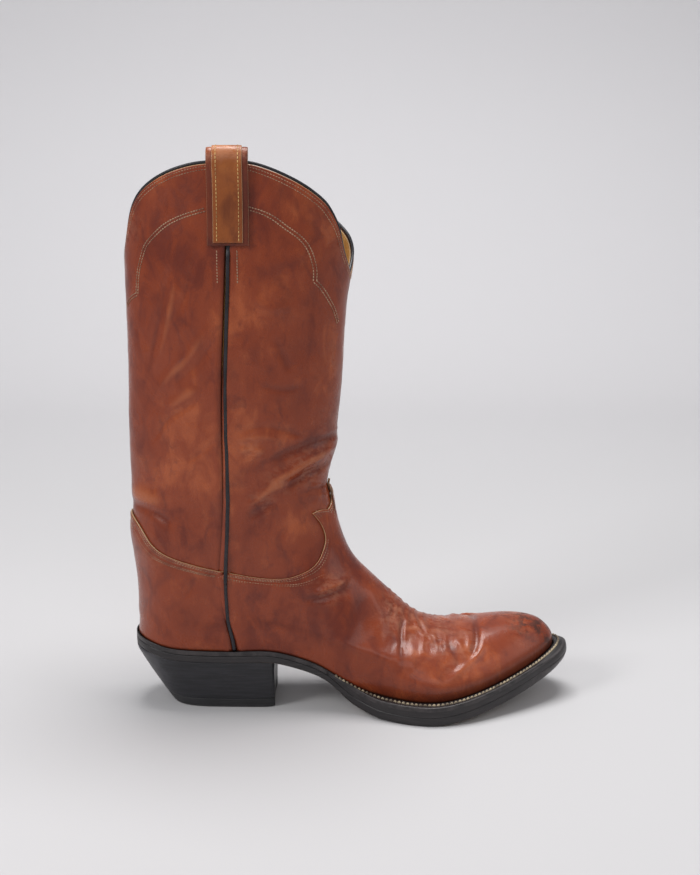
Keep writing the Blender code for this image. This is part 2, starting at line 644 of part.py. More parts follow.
def whole_line(line, centre, cols):
    """A pattern line resampled over one half and carried round to the other side."""
    half = resample(line * PHI_SCALE, cols // 2 + 1) / PHI_SCALE
    other = half[-2::-1].copy()
    other[:, 0] = 2 * centre - other[:, 0]
    return np.vstack([half, other])


def piece_grids(guide, foot, rim, centre, cols):
    """Parameter grids of the foot piece and of the shaft piece that starts on its lap row."""
    seam_gap = PIPING_HALF + 1.5 * GAP
    phi = even_phi(centre - 0.5, centre + 0.5, cols)
    bottom = np.stack([phi, np.zeros(cols)], 1)
    foot_grid = patch(bottom, whole_line(guide[foot], centre, cols), FOOT_ROWS, seam_gap)
    lap = np.stack([foot_grid[0][LAP_ROW], foot_grid[1][LAP_ROW] + LAP_SPLIT], 1)
    lap[0, 0], lap[-1, 0] = centre - 0.5, centre + 0.5
    return foot_grid, patch(lap, whole_line(guide[rim], centre, cols), SHAFT_ROWS, seam_gap)


def to_seam(grid, centre):
    """The grid with its outermost columns taken almost to the seam, for the linings."""
    phi, u = grid[0].copy(), grid[1].copy()
    phi[:, 0] = seam_phi(u[:, 0], centre - 0.5, GAP / 2)
    phi[:, -1] = seam_phi(u[:, -1], centre + 0.5, -GAP / 2)
    return phi, u


def cut(grid, rows, cols=slice(None)):
    return grid[0][rows, cols], grid[1][rows, cols]


def add_upper(mats):
    guide = lines()
    deep, shallow = -OUTER_T - LINING_GAP - LINING_T, -OUTER_T - LINING_GAP
    layout = (("front", "vamp", "vamp_lining", "vamp", "front rim", 1.0, FRONT_COLS),
              ("back", "heel_counter_cover", "heel_lining", "counter", "back rim", 0.0, BACK_COLS))
    for end, foot_name, lining_name, foot, rim, centre, cols in layout:
        foot_grid, shaft_grid = piece_grids(guide, foot, rim, centre, cols)
        shell(foot_name, *foot_grid, LAP_GAP, LAP_GAP + VAMP_T, mats["leather"], lasted=True)
        shell(end + "_shaft", *shaft_grid, -OUTER_T, 0.0, mats["leather"])
        shell(end + "_shaft_lining", *to_seam(shaft_grid, centre), deep, shallow, mats["lining"])
        lining = to_seam(cut(foot_grid, slice(0, LAP_ROW + 1)), centre)
        lining[1][0] += 2 * GAP
        shell(lining_name, *lining, deep, shallow, mats["lining"])
        add_bead("top_beading_" + end, *cut(shaft_grid, -1, slice(1, -1)), mats["black"])
        add_stiffeners(end, foot_grid, mats["stiff"])
    for side, centre in (("lateral", 0.5), ("medial", -0.5)):
        add_piping("side_piping_" + side, centre, mats["black"])


def add_stiffeners(end, grid, mat):
    """Heel counter, side liners and toe puff between the outer leather and the lining."""
    for name, (piece_end, rows, cols) in STIFFENERS.items():
        if piece_end == end:
            phi, u = cut(grid, slice(0, rows), slice(*cols))
            u = u.copy()
            u[0] += 2 * GAP
            shell(name, phi, u, -OUTER_T, -OUTER_T + STIFF_T, mat)


def add_bead(name, phi, u, mat):
    """Beading on the rim: a strip standing on the lining and the inner half of the leather."""
    p, n = surface(phi, u), normals(phi, u)
    along = unit(np.gradient(p, axis=0))
    up = unit(np.cross(n, along))
    up *= np.where(up[:, 2:] < 0, -1, 1)
    shoulder = BEAD_H - BEAD_CHAMFER
    corners = ((BEAD_IN, GAP), (BEAD_OUT, GAP), (BEAD_OUT, shoulder), (BEAD_OUT - BEAD_CHAMFER, BEAD_H),
               (BEAD_IN + BEAD_CHAMFER, BEAD_H), (BEAD_IN, shoulder))
    sections = [[p[i] + n[i] * d + up[i] * h for d, h in corners] for i in range(len(p))]
    sweep(name, sections, mat)


def add_piping(name, centre, mat):
    """Corded seam between front and back pieces, flattened under the pull strap."""
    z = np.array(PIPING_Z)
    phi = np.full(len(z), centre)
    u = u_at_height(phi, z)
    p, n = surface(phi, u), normals(phi, u)
    e = 1e-3
    across = unit(surface(phi + e, u) - surface(phi - e, u))
    base = (VAMP_T + LAP_GAP) * (1 - blend((z - SEAM_VAMP_Z) / PIPING_FOOT))
    rise = (base + PIPING_RISE) * (1 - blend((z - PIPING_FLAT_Z) / PIPING_FADE))
    sections = []
    for i, top in enumerate(rise):
        side = top - min(PIPING_RISE, top + PIPING_SHOULDER) * PIPING_SHOULDER
        corners = ((-1, -OUTER_T), (1, -OUTER_T), (1, side), (PIPING_CROWN, top),
                   (-PIPING_CROWN, top), (-1, side))
        sections.append([p[i] + across[i] * t * PIPING_HALF + n[i] * d for t, d in corners])
    sweep(name, sections, mat)


def strap_path(slump):
    """Centre line of the pull strap in its own plane: distance out from the seam, and height."""
    out = STRAP_T / 2 + STRAP_CLEAR
    back = -(OUTER_T + LINING_GAP + LINING_T + STRAP_T / 2 + STRAP_INNER_CLEAR)
    if slump:
        return (
            (out, STRAP_FOOT_Z), (out, 332), (out + 1, 343), (out + 5, 353), (out + 6.8, 361.5),
            (out + 4.7, 371), (out, 374.2), (back + 1, 372.8), (back - 1, 365), (back, 352), (back, 325),
        )
    return (
        (out, STRAP_FOOT_Z), (out, 340), (out + 0.5, 355), (out + 1.6, 366), (out + 1.8, 373),
        (out - 0.6, STRAP_TOP_Z - 2.2), (-2.5, STRAP_TOP_Z - STRAP_T / 2), (back + 0.2, STRAP_TOP_Z - 2.6),
        (back - 2.6, 372.5), (back - 2.4, 364), (back - 0.3, 350), (back - 0.3, 325),
    )


def strap_curve(slump, count):
    """Points of the strap's centre line as (distance from the middle plane, height), and normals."""
    path = resample(strap_path(slump), count)
    at_rim = np.minimum(path[:, 1], RIM_PEAK_Z)
    seam_y = np.abs(surface(0.5, u_at_height(np.full(count, 0.5), at_rim))[:, 1])
    curve = np.stack([seam_y + path[:, 0], path[:, 1]], 1)
    tangent = unit(np.gradient(curve, axis=0))
    return curve, np.stack([tangent[:, 1], -tangent[:, 0]], 1)


def add_strap(name, side, slump, width, base, thick, span, mat):
    """Leather band along the strap's path, its underside at base from the centre line."""
    curve, normal = strap_curve(slump, STRAP_STEPS)
    keep = slice(*span)
    curve, normal = curve[keep], normal[keep]
    across = np.linspace(-width / 2, width / 2, 3)
    behind = np.clip(np.arange(STRAP_STEPS)[keep] / STRAP_STEPS * 2 - 1, 0, 1)

    def layer(offset):
        yz = curve + normal * offset
        pts = np.zeros((len(curve), 3, 3))
        pts[..., 0] = STRAP_X + across + STRAP_SKEW * behind[:, None]
        pts[..., 1] = side * yz[:, :1]
        pts[..., 2] = yz[:, 1:]
        return pts
    grid_solid(name, layer(base + thick), layer(base), mat)


def add_straps(mats):
    for name, side, slump in (("lateral", -1, False), ("medial", 1, True)):
        add_strap("pull_strap_" + name, side, slump, STRAP_W, -STRAP_T / 2, STRAP_T,
                  (0, STRAP_STEPS), mats["strap"])
        add_strap("pull_strap_overlay_" + name, side, slump, OVERLAY_W, STRAP_T / 2 + GAP,
                  OVERLAY_T, (1, OVERLAY_END), mats["overlay"])


def clear_scene():
    for obj in list(bpy.data.objects):
        bpy.data.objects.remove(obj, do_unlink=True)


def build():
    clear_scene()
    mats = {
        "leather": material("brown_leather", (0.19, 0.045, 0.018), 0.35),
        "strap": material("strap_leather", (0.24, 0.07, 0.03), 0.4),
        "overlay": material("strap_overlay_leather", (0.25, 0.09, 0.03), 0.4),
        "lining": material("tan_lining_leather", (0.55, 0.30, 0.09), 0.6),
        "insole": material("insole_leather", (0.45, 0.30, 0.18), 0.7),
        "stiff": material("stiffener_leather", (0.42, 0.28, 0.17), 0.8),
        "black": material("black_trim_leather", (0.012, 0.011, 0.013), 0.45),
        "edge": material("black_sole_leather", (0.016, 0.015, 0.018), 0.4),
        "rubber": material("black_rubber", (0.012, 0.012, 0.013), 0.6),
        "steel": material("steel", (0.5, 0.5, 0.52), 0.3),
        "wood": material("lemonwood", (0.6, 0.4, 0.2), 0.6),
        "cork": material("cork", (0.36, 0.22, 0.12), 0.9),
    }
    outsole = add_sole(mats)
    heel = add_heel(mats["edge"], mats["rubber"])
    add_fasteners(heel, outsole, mats["steel"], mats["wood"])
    add_upper(mats)
    add_straps(mats)
    face_outwards()


build()
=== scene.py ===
"""Looks of the cowboy boot: leather, stitching, sole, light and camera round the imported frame.

Lengths are in millimetres until a mesh is made. +X points to the toe, +Z up and the lateral
side of the boot faces -Y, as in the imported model.
"""
import itertools
import math

import bpy
import numpy as np
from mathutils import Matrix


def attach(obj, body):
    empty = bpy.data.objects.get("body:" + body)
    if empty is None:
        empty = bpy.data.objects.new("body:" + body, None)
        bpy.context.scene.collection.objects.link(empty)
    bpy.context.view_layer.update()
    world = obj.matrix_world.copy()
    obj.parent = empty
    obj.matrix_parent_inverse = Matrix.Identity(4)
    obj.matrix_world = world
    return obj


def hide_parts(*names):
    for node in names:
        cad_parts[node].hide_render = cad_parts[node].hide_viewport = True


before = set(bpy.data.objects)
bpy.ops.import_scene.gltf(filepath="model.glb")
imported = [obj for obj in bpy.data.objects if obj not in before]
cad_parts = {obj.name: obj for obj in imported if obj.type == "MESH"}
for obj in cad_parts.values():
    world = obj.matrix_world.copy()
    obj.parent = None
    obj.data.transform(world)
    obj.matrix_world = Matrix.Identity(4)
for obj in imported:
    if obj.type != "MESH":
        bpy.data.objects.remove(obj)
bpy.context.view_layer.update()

MM = 0.001

# ------------------------------------------------------------------ form of the boot
GAP, LAP_GAP = 0.3, 1.0
SOLE_GAP = 0.4
OUTER_T, VAMP_T, LINING_GAP, LINING_T = 1.5, 1.4, 0.8, 1.0      # _T is a thickness throughout
INSOLE_T, SOCK_T, LASTING_MARGIN = 2.8, 0.9, 11.0
WELT_T, WELT_END_T = 3.2, 1.9
MIDSOLE_T, MIDSOLE_END_T = 3.2, 0.6
OUTSOLE_T, WAIST_SOLE_T = 6.2, 4.9
WELT_START_X, WELT_FULL_X = -18.0, 2.0
HEEL_BREAST_X, HEEL_SEAT_Z = -53.0, 40.0
HEEL_CAP_H, HEEL_LIFTS, HEEL_LIFT_TOP = 7.0, 4, 27.6
HEEL_BACK_TUCK, HEEL_SIDE_TUCK = 24.0, 0.72
RIM_FRONT_Z, RIM_BACK_Z, RIM_PEAK_Z = 297.0, 306.0, 370.5
FOOT_INSET, TOE_SWING, TOE_SWING_START, TOE_SWING_RUN = 2.1, 10.0, 30.0, 115.0
TOE_ROUND, TOE_DROOP, TOE_EDGE_X, TOE_EDGE_RUN = 2.6, 2.6, 122.0, 24.0
BALL_OUT, TOE_OUT, WAIST_OUT = 10.2, 8.0, 1.8             # how far the sole stands out from the upper
LEAN_Z, LEAN_RISE = 262.0, 60.0
LEANS = (                 # slumped rim: centre and width in phi, way forward, way up
    (1.15, 0.11, 7.0, 0.0), (1.30, 0.17, 0.0, -14.0), (0.80, 0.12, 0.3, 2.2), (0.91, 0.06, -1.6, 0.0),
)
ANKLE_BUMPS = ((184.0, 10.0, 1.9), (157.0, 9.0, -2.4))    # height, reach, how far it stands out
ANKLE_BUMP_W = 0.22
STRAP_W, STRAP_T, STRAP_X = 26.0, 1.6, -77.9
STRAP_FOOT_Z, STRAP_TOP_Z = 320.0, 380.4
OVERLAY_W, OVERLAY_T, OVERLAY_GAP = 18.6, 1.0, 0.15

LOOP_SHARES = (0.1, 0.25, 0.4, 0.55, 0.7, 0.85)
FOOT_STATIONS = (         # ridge x, z, back x, z, back and front radius, lateral and medial half widths
    (143, 39, -148.5, 47, 30, 15, (28.5, 30.5, 30, 33, 48.5, 39), (28, 29, 24, 28, 37.5, 27)),
    (142.4, 44, -148, 53, 31, 16, (30, 32, 31.5, 35.5, 50.5, 39.5), (29.5, 31.5, 26, 30, 39, 28)),
    (131, 53, -148, 61, 31, 17, (31, 33, 32.5, 36.5, 47, 37), (30.5, 32.5, 29, 32, 38, 28.5)),
    (105, 56, -148, 70, 30, 20, (31.5, 34, 33.5, 35.5, 41, 34), (31, 33.5, 31.8, 33.8, 37, 29.5)),
    (75, 54, -148, 79, 29, 22, (31.5, 34.5, 34.5, 34, 36, 32), (31, 34, 34, 34, 35, 30.5)),
    (48, 59.3, -148.3, 88, 28, 19, (31, 35, 35.2, 34.5, 33.5, 29), (30.5, 34.5, 35, 34.5, 34, 29)),
    (27, 77, -148.8, 97, 27, 16, (29.5, 35.2, 36, 35.2, 33, 27), (29.5, 35, 36, 35.2, 33, 27)),
    (4, 99, -149.3, 107, 25, 15, (27.5, 35, 36.8, 36.3, 33.5, 26.5), (27.5, 35, 36.8, 36.3, 33.5, 26.5)),
    (-8.3, 118, -149.8, 119, 23, 16, (25.5, 34, 37, 36.8, 33.5, 26), (25.5, 34, 37, 36.8, 33.5, 26)),
)
SHAFT_STATIONS = (        # ridge x, height, back x, half width
    (-14, 145, -149.8, 37.6), (-12, 178, -150.3, 39), (-7.5, 215, -150.2, 41),
    (-4.5, 262, -149.6, 43), (0.5, 310, -149.4, 44.5), (4, 376, -149.5, 45),
)
FEATHER = (               # height of the line at which the upper meets the welt, as (x, z)
    (-151, 51), (-141, 49.5), (-130, 46.8), (-107, 44.6), (-77, 44.3), (-54, 44), (-36, 39.3), (-22, 33.4),
    (-8, 24.4), (5, 17.8), (20, 14.4), (34, 13.5), (48, 13.4), (62, 14.2), (76, 16.2), (100, 21.4),
    (117, 26.4), (133, 31.9), (144.5, 36.4), (154, 40.3),
)
SEAM = (                  # station and x of the side seam
    (0, -80), (2, -82), (4, -83.9), (6, -84.6), (8, -83.5), (9, -82.2), (11, -82.1), (12, -80.5),
    (13, -78.4), (14, -77),
)

# lines on the side of the boot, as (x, z)
RIM_LINE = ((-147, 321), (-144.3, 333), (-140, 344.5), (-133.5, 353), (-126, 358.8), (-116, 364),
            (-105, 367.7), (-94, 369.8))
RIM_FRONT_LINE = ((-65, 369.8), (-57.5, 367.9), (-48.6, 364.5), (-39.5, 360), (-30.5, 354.4), (-22.8, 348.2),
                  (-16.8, 342.3), (-12.4, 335.6), (-8.2, 327.5), (-5.4, 319.4), (-2.8, 310.5))
VAMP_LINE = ((-70, 98.8), (-58, 97.1), (-47, 96.7), (-35.3, 99.2), (-27.3, 102.6), (-21.8, 107.8),
             (-19.2, 113.5), (-18.2, 120))
VAMP_SMOOTH = ((-17.8, 128), (-17, 136), (-16.4, 142))
NOTCH_EDGE = ((-19.7, 126.5), (-22.6, 132.7), (-27, 139.1))
NOTCH_TOP = ((-27, 139.1), (-24.1, 140), (-16.8, 139.1))
TONGUE_SIDE = ((-16.8, 139.1), (-14.2, 146.5))
NOTCH_SHARES = (0.70, 0.763)   # where the notch's two corners sit along the smooth vamp line
TONGUE_Z = 158.0
RIM_HOLD = 8.0            # depth below the rim in which folds weaken
COUNTER_LINE = ((-147, 134), (-141, 128), (-134.8, 120), (-127, 114), (-116, 109.7), (-101.4, 105.5),
                (-90.2, 103))
COUNTER_BACK_Z, SEAM_VAMP_Z = 136.5, 102.2
COLLAR_BACK = ((-92, 342), (-101, 339.5), (-110, 336.3), (-120, 330.5), (-127, 324), (-131, 319.5),
               (-134, 313), (-137, 303), (-138.5, 293), (-139, 287))
COLLAR_BACK_TIP = ((-139, 287), (-143.5, 284), (-147.5, 278))
COLLAR_FRONT = ((-65.5, 343), (-58, 340.7), (-50, 336.8), (-42, 330.5), (-33, 323), (-27.5, 315),
                (-24.8, 307), (-23.8, 301), (-24, 295))
COLLAR_FRONT_TIP = ((-24, 295), (-19, 289.5), (-15, 283), (-11.5, 276), (-9, 267))

# folds of the leather: height, half width, points on the side of the boot
FOLDS = (
    (-1.5, 2.4, ((89, 57), (87, 55), (86, 50), (84, 45), (81, 40))),
    (1.0, 2.4, ((92, 47), (86, 41), (81, 37), (75, 34), (70, 31), (64, 27))),
    (0.9, 1.8, ((70, 52), (73, 47), (76, 41), (78, 36))),
    (-0.7, 1.8, ((66, 50), (69, 43), (71, 37), (70, 33))),
    (0.6, 1.1, ((26, 71), (24, 65))), (0.6, 1.1, ((31, 70), (28, 63))), (0.6, 1.2, ((34, 69), (35, 61))),
    (0.7, 1.3, ((39, 66), (37, 58), (36, 50))), (0.6, 1.2, ((42, 63), (46, 54))),
    (0.6, 1.2, ((48, 60), (53, 51))), (0.6, 1.3, ((51, 53), (48, 46), (50, 42))),
    (-0.5, 1.1, ((29, 71), (26, 64))), (-0.5, 1.1, ((45, 61), (50, 52))), (-0.5, 1.4, ((58, 55), (60, 47))),
    (-0.9, 1.8, ((38, 67), (34, 56), (33, 45), (34, 38))), (0.5, 2.4, ((42, 52), (40, 44), (42, 34))),
    (-0.9, 5.0, ((10, 84), (4, 70), (0, 57), (-3, 44))), (0.8, 5.0, ((24, 66), (17, 58), (12, 46))),
    (0.5, 3.0, ((14, 83), (17, 73), (22, 66))),
    (1.2, 2.4, ((-1, 93), (-9, 90), (-17, 88), (-26, 86))), (-1.1, 2.8, ((2, 88), (-14, 84), (-32, 82))),
    (1.5, 3.2, ((-9, 183), (-20, 179), (-31, 174), (-41, 169), (-51, 164), (-59, 159))),
    (-1.5, 3.4, ((-8, 190), (-26, 188), (-41, 184), (-55, 178))),
    (-1.2, 3.2, ((-12, 172), (-22, 170), (-34, 165), (-46, 158))),
    (1.2, 2.6, ((-40, 163), (-55, 158), (-64, 151), (-71, 146))),
    (-0.8, 3.0, ((-48, 151), (-58, 147), (-68, 140))),
    (0.8, 2.2, ((-75, 186), (-65, 187), (-56, 183))), (0.6, 2.5, ((-13, 160), (-25, 162), (-34, 168))),
    (-0.7, 2.5, ((-74, 199), (-58, 202), (-40, 197), (-28, 192))),
    (0.7, 2.6, ((-76, 193), (-59, 195), (-44, 191))), (0.5, 1.6, ((-12, 148), (-22, 151), (-32, 152))),
    (-0.5, 1.6, ((-12, 152), (-22, 156), (-32, 157))),
    (-1.1, 3.2, ((-152, 143), (-139, 143), (-128, 139), (-120, 134))),
    (1.0, 6.0, ((-152, 152), (-138, 151), (-124, 147))),
    (-0.8, 2.0, ((-117, 309), (-120, 291), (-125, 271), (-129, 255), (-134, 237))),
    (0.7, 2.2, ((-112, 305), (-116, 282), (-122, 258), (-129, 236))),
    (-0.6, 2.0, ((-98, 318), (-102, 304), (-107, 288), (-113, 273))),
    (0.8, 3.0, ((-93, 267), (-101, 254), (-108, 245), (-117, 237), (-125, 227), (-131, 217))),
    (-0.7, 3.2, ((-90, 260), (-97, 248), (-106, 238), (-116, 229))),
    (-0.8, 2.5, ((-99, 222), (-112, 213), (-120, 207), (-127, 198), (-134, 187))),
    (0.6, 3.0, ((-99, 229), (-112, 220), (-122, 212))),
    (-0.5, 2.0, ((-88, 195), (-99, 185), (-109, 178))), (-0.5, 2.2, ((-126, 178), (-129, 164), (-134, 152))),
    (-0.4, 1.8, ((-105, 100), (-109, 89), (-115, 82))), (-0.5, 2.6, ((-50, 262), (-44, 250), (-40, 236))),
    (-0.4, 2.2, ((-60, 230), (-44, 226), (-30, 228))), (0.4, 3.0, ((-64, 290), (-52, 280), (-38, 282))),
)
FLEX_BACK_X, PUFF_X, FLEX_Z = 14, 92, 36            # finely creased part of the vamp: from x to x, above z
ANKLE_LOW_Z, ANKLE_TOP_Z, ANKLE_BACK_X = 132, 210, -70     # finely creased part of the ankle
RUBBED_AND_HIGHLIGHT_SPOTS = (                  # x, z, radius, strength: pale spots, partly rubbed wear and partly painted highlight
    (30, 68, 12, 1.0), (36, 62, 10, 1.0), (46, 58, 13, 1.0), (-30, 172, 13, 0.8), (-60, 152, 9, 0.6),
    (62, 54, 12, 0.9), (76, 46, 9, 0.7), (70, 36, 9, 0.5), (-14, 89, 10, 0.8), (-22, 178, 12, 0.6),
    (-45, 165, 12, 0.5), (-8, 240, 10, 0.5), (-12, 200, 12, 0.4),
    (-140, 112, 12, 0.5), (-66, 187, 8, 0.5), (118, 52, 9, 0.5), (-5, 320, 12, 0.4), (-148, 330, 12, 0.5),
)
SCUFFS = ((122, 54, 7, 0.9), (130, 50, 7, 1.0), (138, 43, 6, 0.9), (141, 38, 5, 0.7), (113, 55, 6, 0.5))


def spline_weights(knots, x):
    """Weights of a natural cubic spline's knots at each x."""
    k = np.asarray(knots, float)
    n, h = len(k), np.diff(k)
    a, b = np.zeros((n, n)), np.zeros((n, n))
    a[0, 0] = a[-1, -1] = 1
    for i in range(1, n - 1):
        a[i, i - 1:i + 2] = h[i - 1], 2 * (h[i - 1] + h[i]), h[i]
        b[i, i - 1:i + 2] = 6 / h[i - 1], -6 / h[i - 1] - 6 / h[i], 6 / h[i]
    m = np.linalg.solve(a, b)
    x = np.clip(np.ravel(x), k[0], k[-1])
    i = np.clip(np.searchsorted(k, x, side="right") - 1, 0, n - 2)
    s, t, row = (k[i + 1] - x) / h[i], (x - k[i]) / h[i], np.arange(len(x))
    w = np.zeros((len(x), n))
    w[row, i] += s
    w[row, i + 1] += t
    bend = ((s**3 - s) * h[i]**2 / 6)[:, None] * m[i]
    return w + bend + ((t**3 - t) * h[i]**2 / 6)[:, None] * m[i + 1]


def spline(points, x):
    """Height at x of the smooth curve through (x, height) points."""
    points = np.asarray(points, float)
    return (spline_weights(points[:, 0], x) @ points[:, 1]).reshape(np.shape(x))


def blend(x):
    """Smooth step from 0 to 1."""
    x = np.clip(x, 0, 1)
    return x * x * (3 - 2 * x)


def form_tables():
    """Knots u along the ridge, ridge and back lines, and the loop width shapes."""
    share = np.array(LOOP_SHARES)
    root = 2 * np.sqrt(share * (1 - share))
    ridge, back, widths = [], [], ([], [])
    for rx, rz, bx, bz, rb, rf, lateral, medial in FOOT_STATIONS:
        ridge.append((rx, rz))
        back.append((bx, bz))
        ends = np.sqrt(rb * (rx - bx) / 2), np.sqrt(rf * (rx - bx) / 2)
        for rows, half in zip(widths, (lateral, medial)):
            rows.append([ends[0], *(np.array(half) / root), ends[1]])
    for rx, z, bx, half in SHAFT_STATIONS:
        ridge.append((rx, z))
        back.append((bx, z))
        for rows in widths:
            rows.append([half] * (len(share) + 2))
    ridge = np.array(ridge)
    steps = np.hypot(*np.diff(ridge, axis=0).T)
    return np.concatenate([[0], np.cumsum(steps)]), ridge, np.array(back), np.array(widths)


U, RIDGE, BACK, WIDTHS = form_tables()
Q_KNOTS = (0, *LOOP_SHARES, 1)
U_SHAFT = U[8]


def toe_swing(x):
    """How far the foot's middle line has swung towards the medial side at x."""
    return TOE_SWING * blend((x - TOE_SWING_START) / TOE_SWING_RUN)


def seam_ratio(u, back_x, ridge_x):
    """Places the side seam, which phi = 0.5 follows, between the back line and the ridge."""
    share = (spline([(U[i], x) for i, x in SEAM], u) - back_x) / (ridge_x - back_x)
    return (1 - share) / share


def surface(phi, u):
    """Point of the boot's outer form. phi: 0 back, 0.5 lateral seam, 1 front, 1.5 medial seam."""
    shape = np.broadcast(phi, u).shape
    phi = np.broadcast_to(phi, shape).ravel().astype(float)
    u = np.broadcast_to(u, shape).ravel().astype(float)
    turn = np.mod(phi, 2)
    medial = turn > 1
    c = (1 - np.cos(np.pi * np.where(medial, 2 - turn, turn))) / 2
    weights = spline_weights(U, u)
    b, f = weights @ BACK, weights @ RIDGE
    q = c / (c + seam_ratio(u, b[:, 0], f[:, 0]) * (1 - c))
    x, z = (b + (f - b) * q[:, None]).T
    seat = BACK[0] + (RIDGE[0] - BACK[0]) * q[:, None]
    fade = np.clip(1 - u / U_SHAFT, 0, 1)**1.6
    ridge_sink = (spline(FEATHER, f[:, 0]) - RIDGE[0, 1]) * q**10 * blend(u / 20)
    z = z + (spline(FEATHER, x) - seat[:, 1] - ridge_sink) * fade
    widths = np.einsum("iu,suq,iq->si", weights, WIDTHS, spline_weights(Q_KNOTS, q))
    half = 2 * np.sqrt(np.clip(q * (1 - q), 0, None)) * np.where(medial, widths[1], widths[0])
    y = toe_swing(x) + np.where(medial, half, -half)
    return np.stack([x, y, z], 1).reshape(*shape, 3)


def unit(v):
    return v / np.maximum(np.linalg.norm(v, axis=-1, keepdims=True), 1e-9)


def normals(phi, u):
    e, d = 1e-3, 0.05
    across = surface(phi + e, u) - surface(phi - e, u)
    along = surface(phi, np.minimum(u + d, U[-1])) - surface(phi, np.maximum(u - d, 0))
    return unit(np.cross(across, along))


def even_phi(a, b, at):
    """phi values along the feather line at the shares at, spaced by distance and turning."""
    phi = np.linspace(a, b, 600)
    step = np.diff(surface(phi, 0.0)[:, :2], axis=0)
    length = np.hypot(*step.T)
    bend = np.abs(np.diff(np.unwrap(np.arctan2(step[:, 1], step[:, 0])), append=0.0))
    bend[-1] = bend[-2]
    reach = np.concatenate([[0], np.cumsum(length / length.sum() + 0.5 * bend / bend.sum())])
    return np.interp(at * reach[-1], reach, phi)


def u_at_height(phi, z, low=0.0):
    """u at which the form reaches height z, looked for from low upwards."""
    phi, z = np.broadcast_arrays(phi, z)
    low, high = np.full(z.shape, low), np.full(z.shape, U[-1])
    for _ in range(40):
        mid = (low + high) / 2
        under = surface(phi, mid)[..., 2] < z
        low, high = np.where(under, mid, low), np.where(under, high, mid)
    return (low + high) / 2


def locate(x, z):
    """phi on the lateral side, and u, of the point seen at (x, z) from the side."""
    x, z = np.asarray(x, float), np.asarray(z, float)
    phi = np.full(x.shape, 0.5)
    for _ in range(25):
        u = u_at_height(phi, z)
        weights = spline_weights(U, u)
        b, f = (weights @ BACK)[:, 0], (weights @ RIDGE)[:, 0]
        q = np.clip((x - b) / (f - b), 0, 1)
        k = seam_ratio(u, b, f)
        phi = (phi + 2 * np.arccos(1 - 2 * q * k / (1 - q + q * k)) / np.pi) / 3
    return phi, u


def reach_of(points):
    return np.concatenate([[0], np.cumsum(np.linalg.norm(np.diff(points, axis=0), axis=1))])


def along(points, at):
    """Points at the shares at of the length of a polyline."""
    reach = reach_of(points)
    return np.stack([np.interp(at * reach[-1], reach, points[:, i]) for i in range(points.shape[1])], 1)


def smooth(points, count=400):
    """Dense polyline along a smooth curve through the given points."""
    points = np.asarray(points, float)
    reach = reach_of(points)
    return spline_weights(reach, np.linspace(0, reach[-1], count)) @ points


SCALE = np.array([150.0, 1.0])      # brings (phi, u) to about millimetres each way


def on_seam(z):
    return np.array([[0.5, u_at_height(np.array([0.5]), np.array([z]))[0]]])


def on_ridge(phi, z):
    return np.array([[phi, u_at_height(np.array([phi]), np.array([z]), U_SHAFT if z > 150 else 0.0)[0]]])


def side_line(points, start=None, end=None):
    """Dense line through side points, as (phi, u) brought to millimetres."""
    phi, u = locate(*np.array(points, float).T)
    line = np.vstack([p for p in (start, np.stack([phi, u], 1), end) if p is not None])
    return smooth(line * SCALE)


def shift(line, distance):
    """The line moved to its right-hand side by distance."""
    step = unit(np.gradient(line, axis=0))
    return line + np.stack([step[:, 1], -step[:, 0]], 1) * distance


def lines():
    """The pattern lines of the lateral half, each starting at the seam."""
    smooth_vamp = side_line(VAMP_LINE + VAMP_SMOOTH, on_seam(SEAM_VAMP_Z), on_ridge(1.0, TONGUE_Z))
    edge = side_line(VAMP_LINE + NOTCH_EDGE, on_seam(SEAM_VAMP_Z))
    counter = side_line(COUNTER_LINE, on_ridge(0.0, COUNTER_BACK_Z), on_seam(SEAM_VAMP_Z))[::-1]
    rim_back = side_line(RIM_LINE, on_ridge(0.0, RIM_BACK_Z), on_seam(RIM_PEAK_Z))[::-1]
    for line in (counter, rim_back):
        line[:, 0] *= -1
    return {
        "vamp smooth": smooth_vamp, "vamp edge": edge, "notch top": side_line(NOTCH_TOP),
        "tongue": side_line(TONGUE_SIDE, None, on_ridge(1.0, TONGUE_Z)),
        "rim front": side_line(RIM_FRONT_LINE, on_seam(RIM_PEAK_Z), on_ridge(1.0, RIM_FRONT_Z)),
        "counter": counter, "rim back": rim_back,
    }


LINES = lines()


def mirrored(half, centre):
    """A half line carried round to the other side of the centre, as (phi, u)."""
    half = half / SCALE
    other = half[-2::-1].copy()
    other[:, 0] = 2 * centre - other[:, 0]
    return np.vstack([half, other])


def tight_ends(count):
    """Shares from 0 to 1, closer together at the seam end."""
    t = np.linspace(0, 1, count)
    return t - 0.6 * np.sin(np.pi * t) / np.pi


def seam_phi(u, centre, half_gap):
    """phi beside a side seam, a distance of half_gap away from it."""
    speed = np.linalg.norm(surface(centre + 1e-3, u) - surface(centre - 1e-3, u), axis=-1) / 2e-3
    return centre + half_gap / speed


def off_seams(phi, u, centre, half_gap):
    """Draw a grid's columns in so that its sides stand half_gap off the seams."""
    left = seam_phi(u[:, 0], centre - 0.5, half_gap)[:, None]
    right = seam_phi(u[:, -1], centre + 0.5, -half_gap)[:, None]
    return left + (right - left) * (phi - centre + 0.5)


def rows_between(low, high, weights, power=1.15):
    """Parameter grid between two lines with the same columns."""
    w = (weights ** power)[:, None]
    return low[:, 0] * (1 - w) + high[:, 0] * w, low[:, 1] * (1 - w) + high[:, 1] * w


def edge_rows(count, fine, strip):
    """Row weights from 0 to 1, with fine rows in the strip next to the top edge."""
    return np.concatenate([np.linspace(0, 1 - strip, count), 1 - strip * (1 - np.arange(1, fine + 1) / fine)])


# ------------------------------------------------------------------ relief of the leather

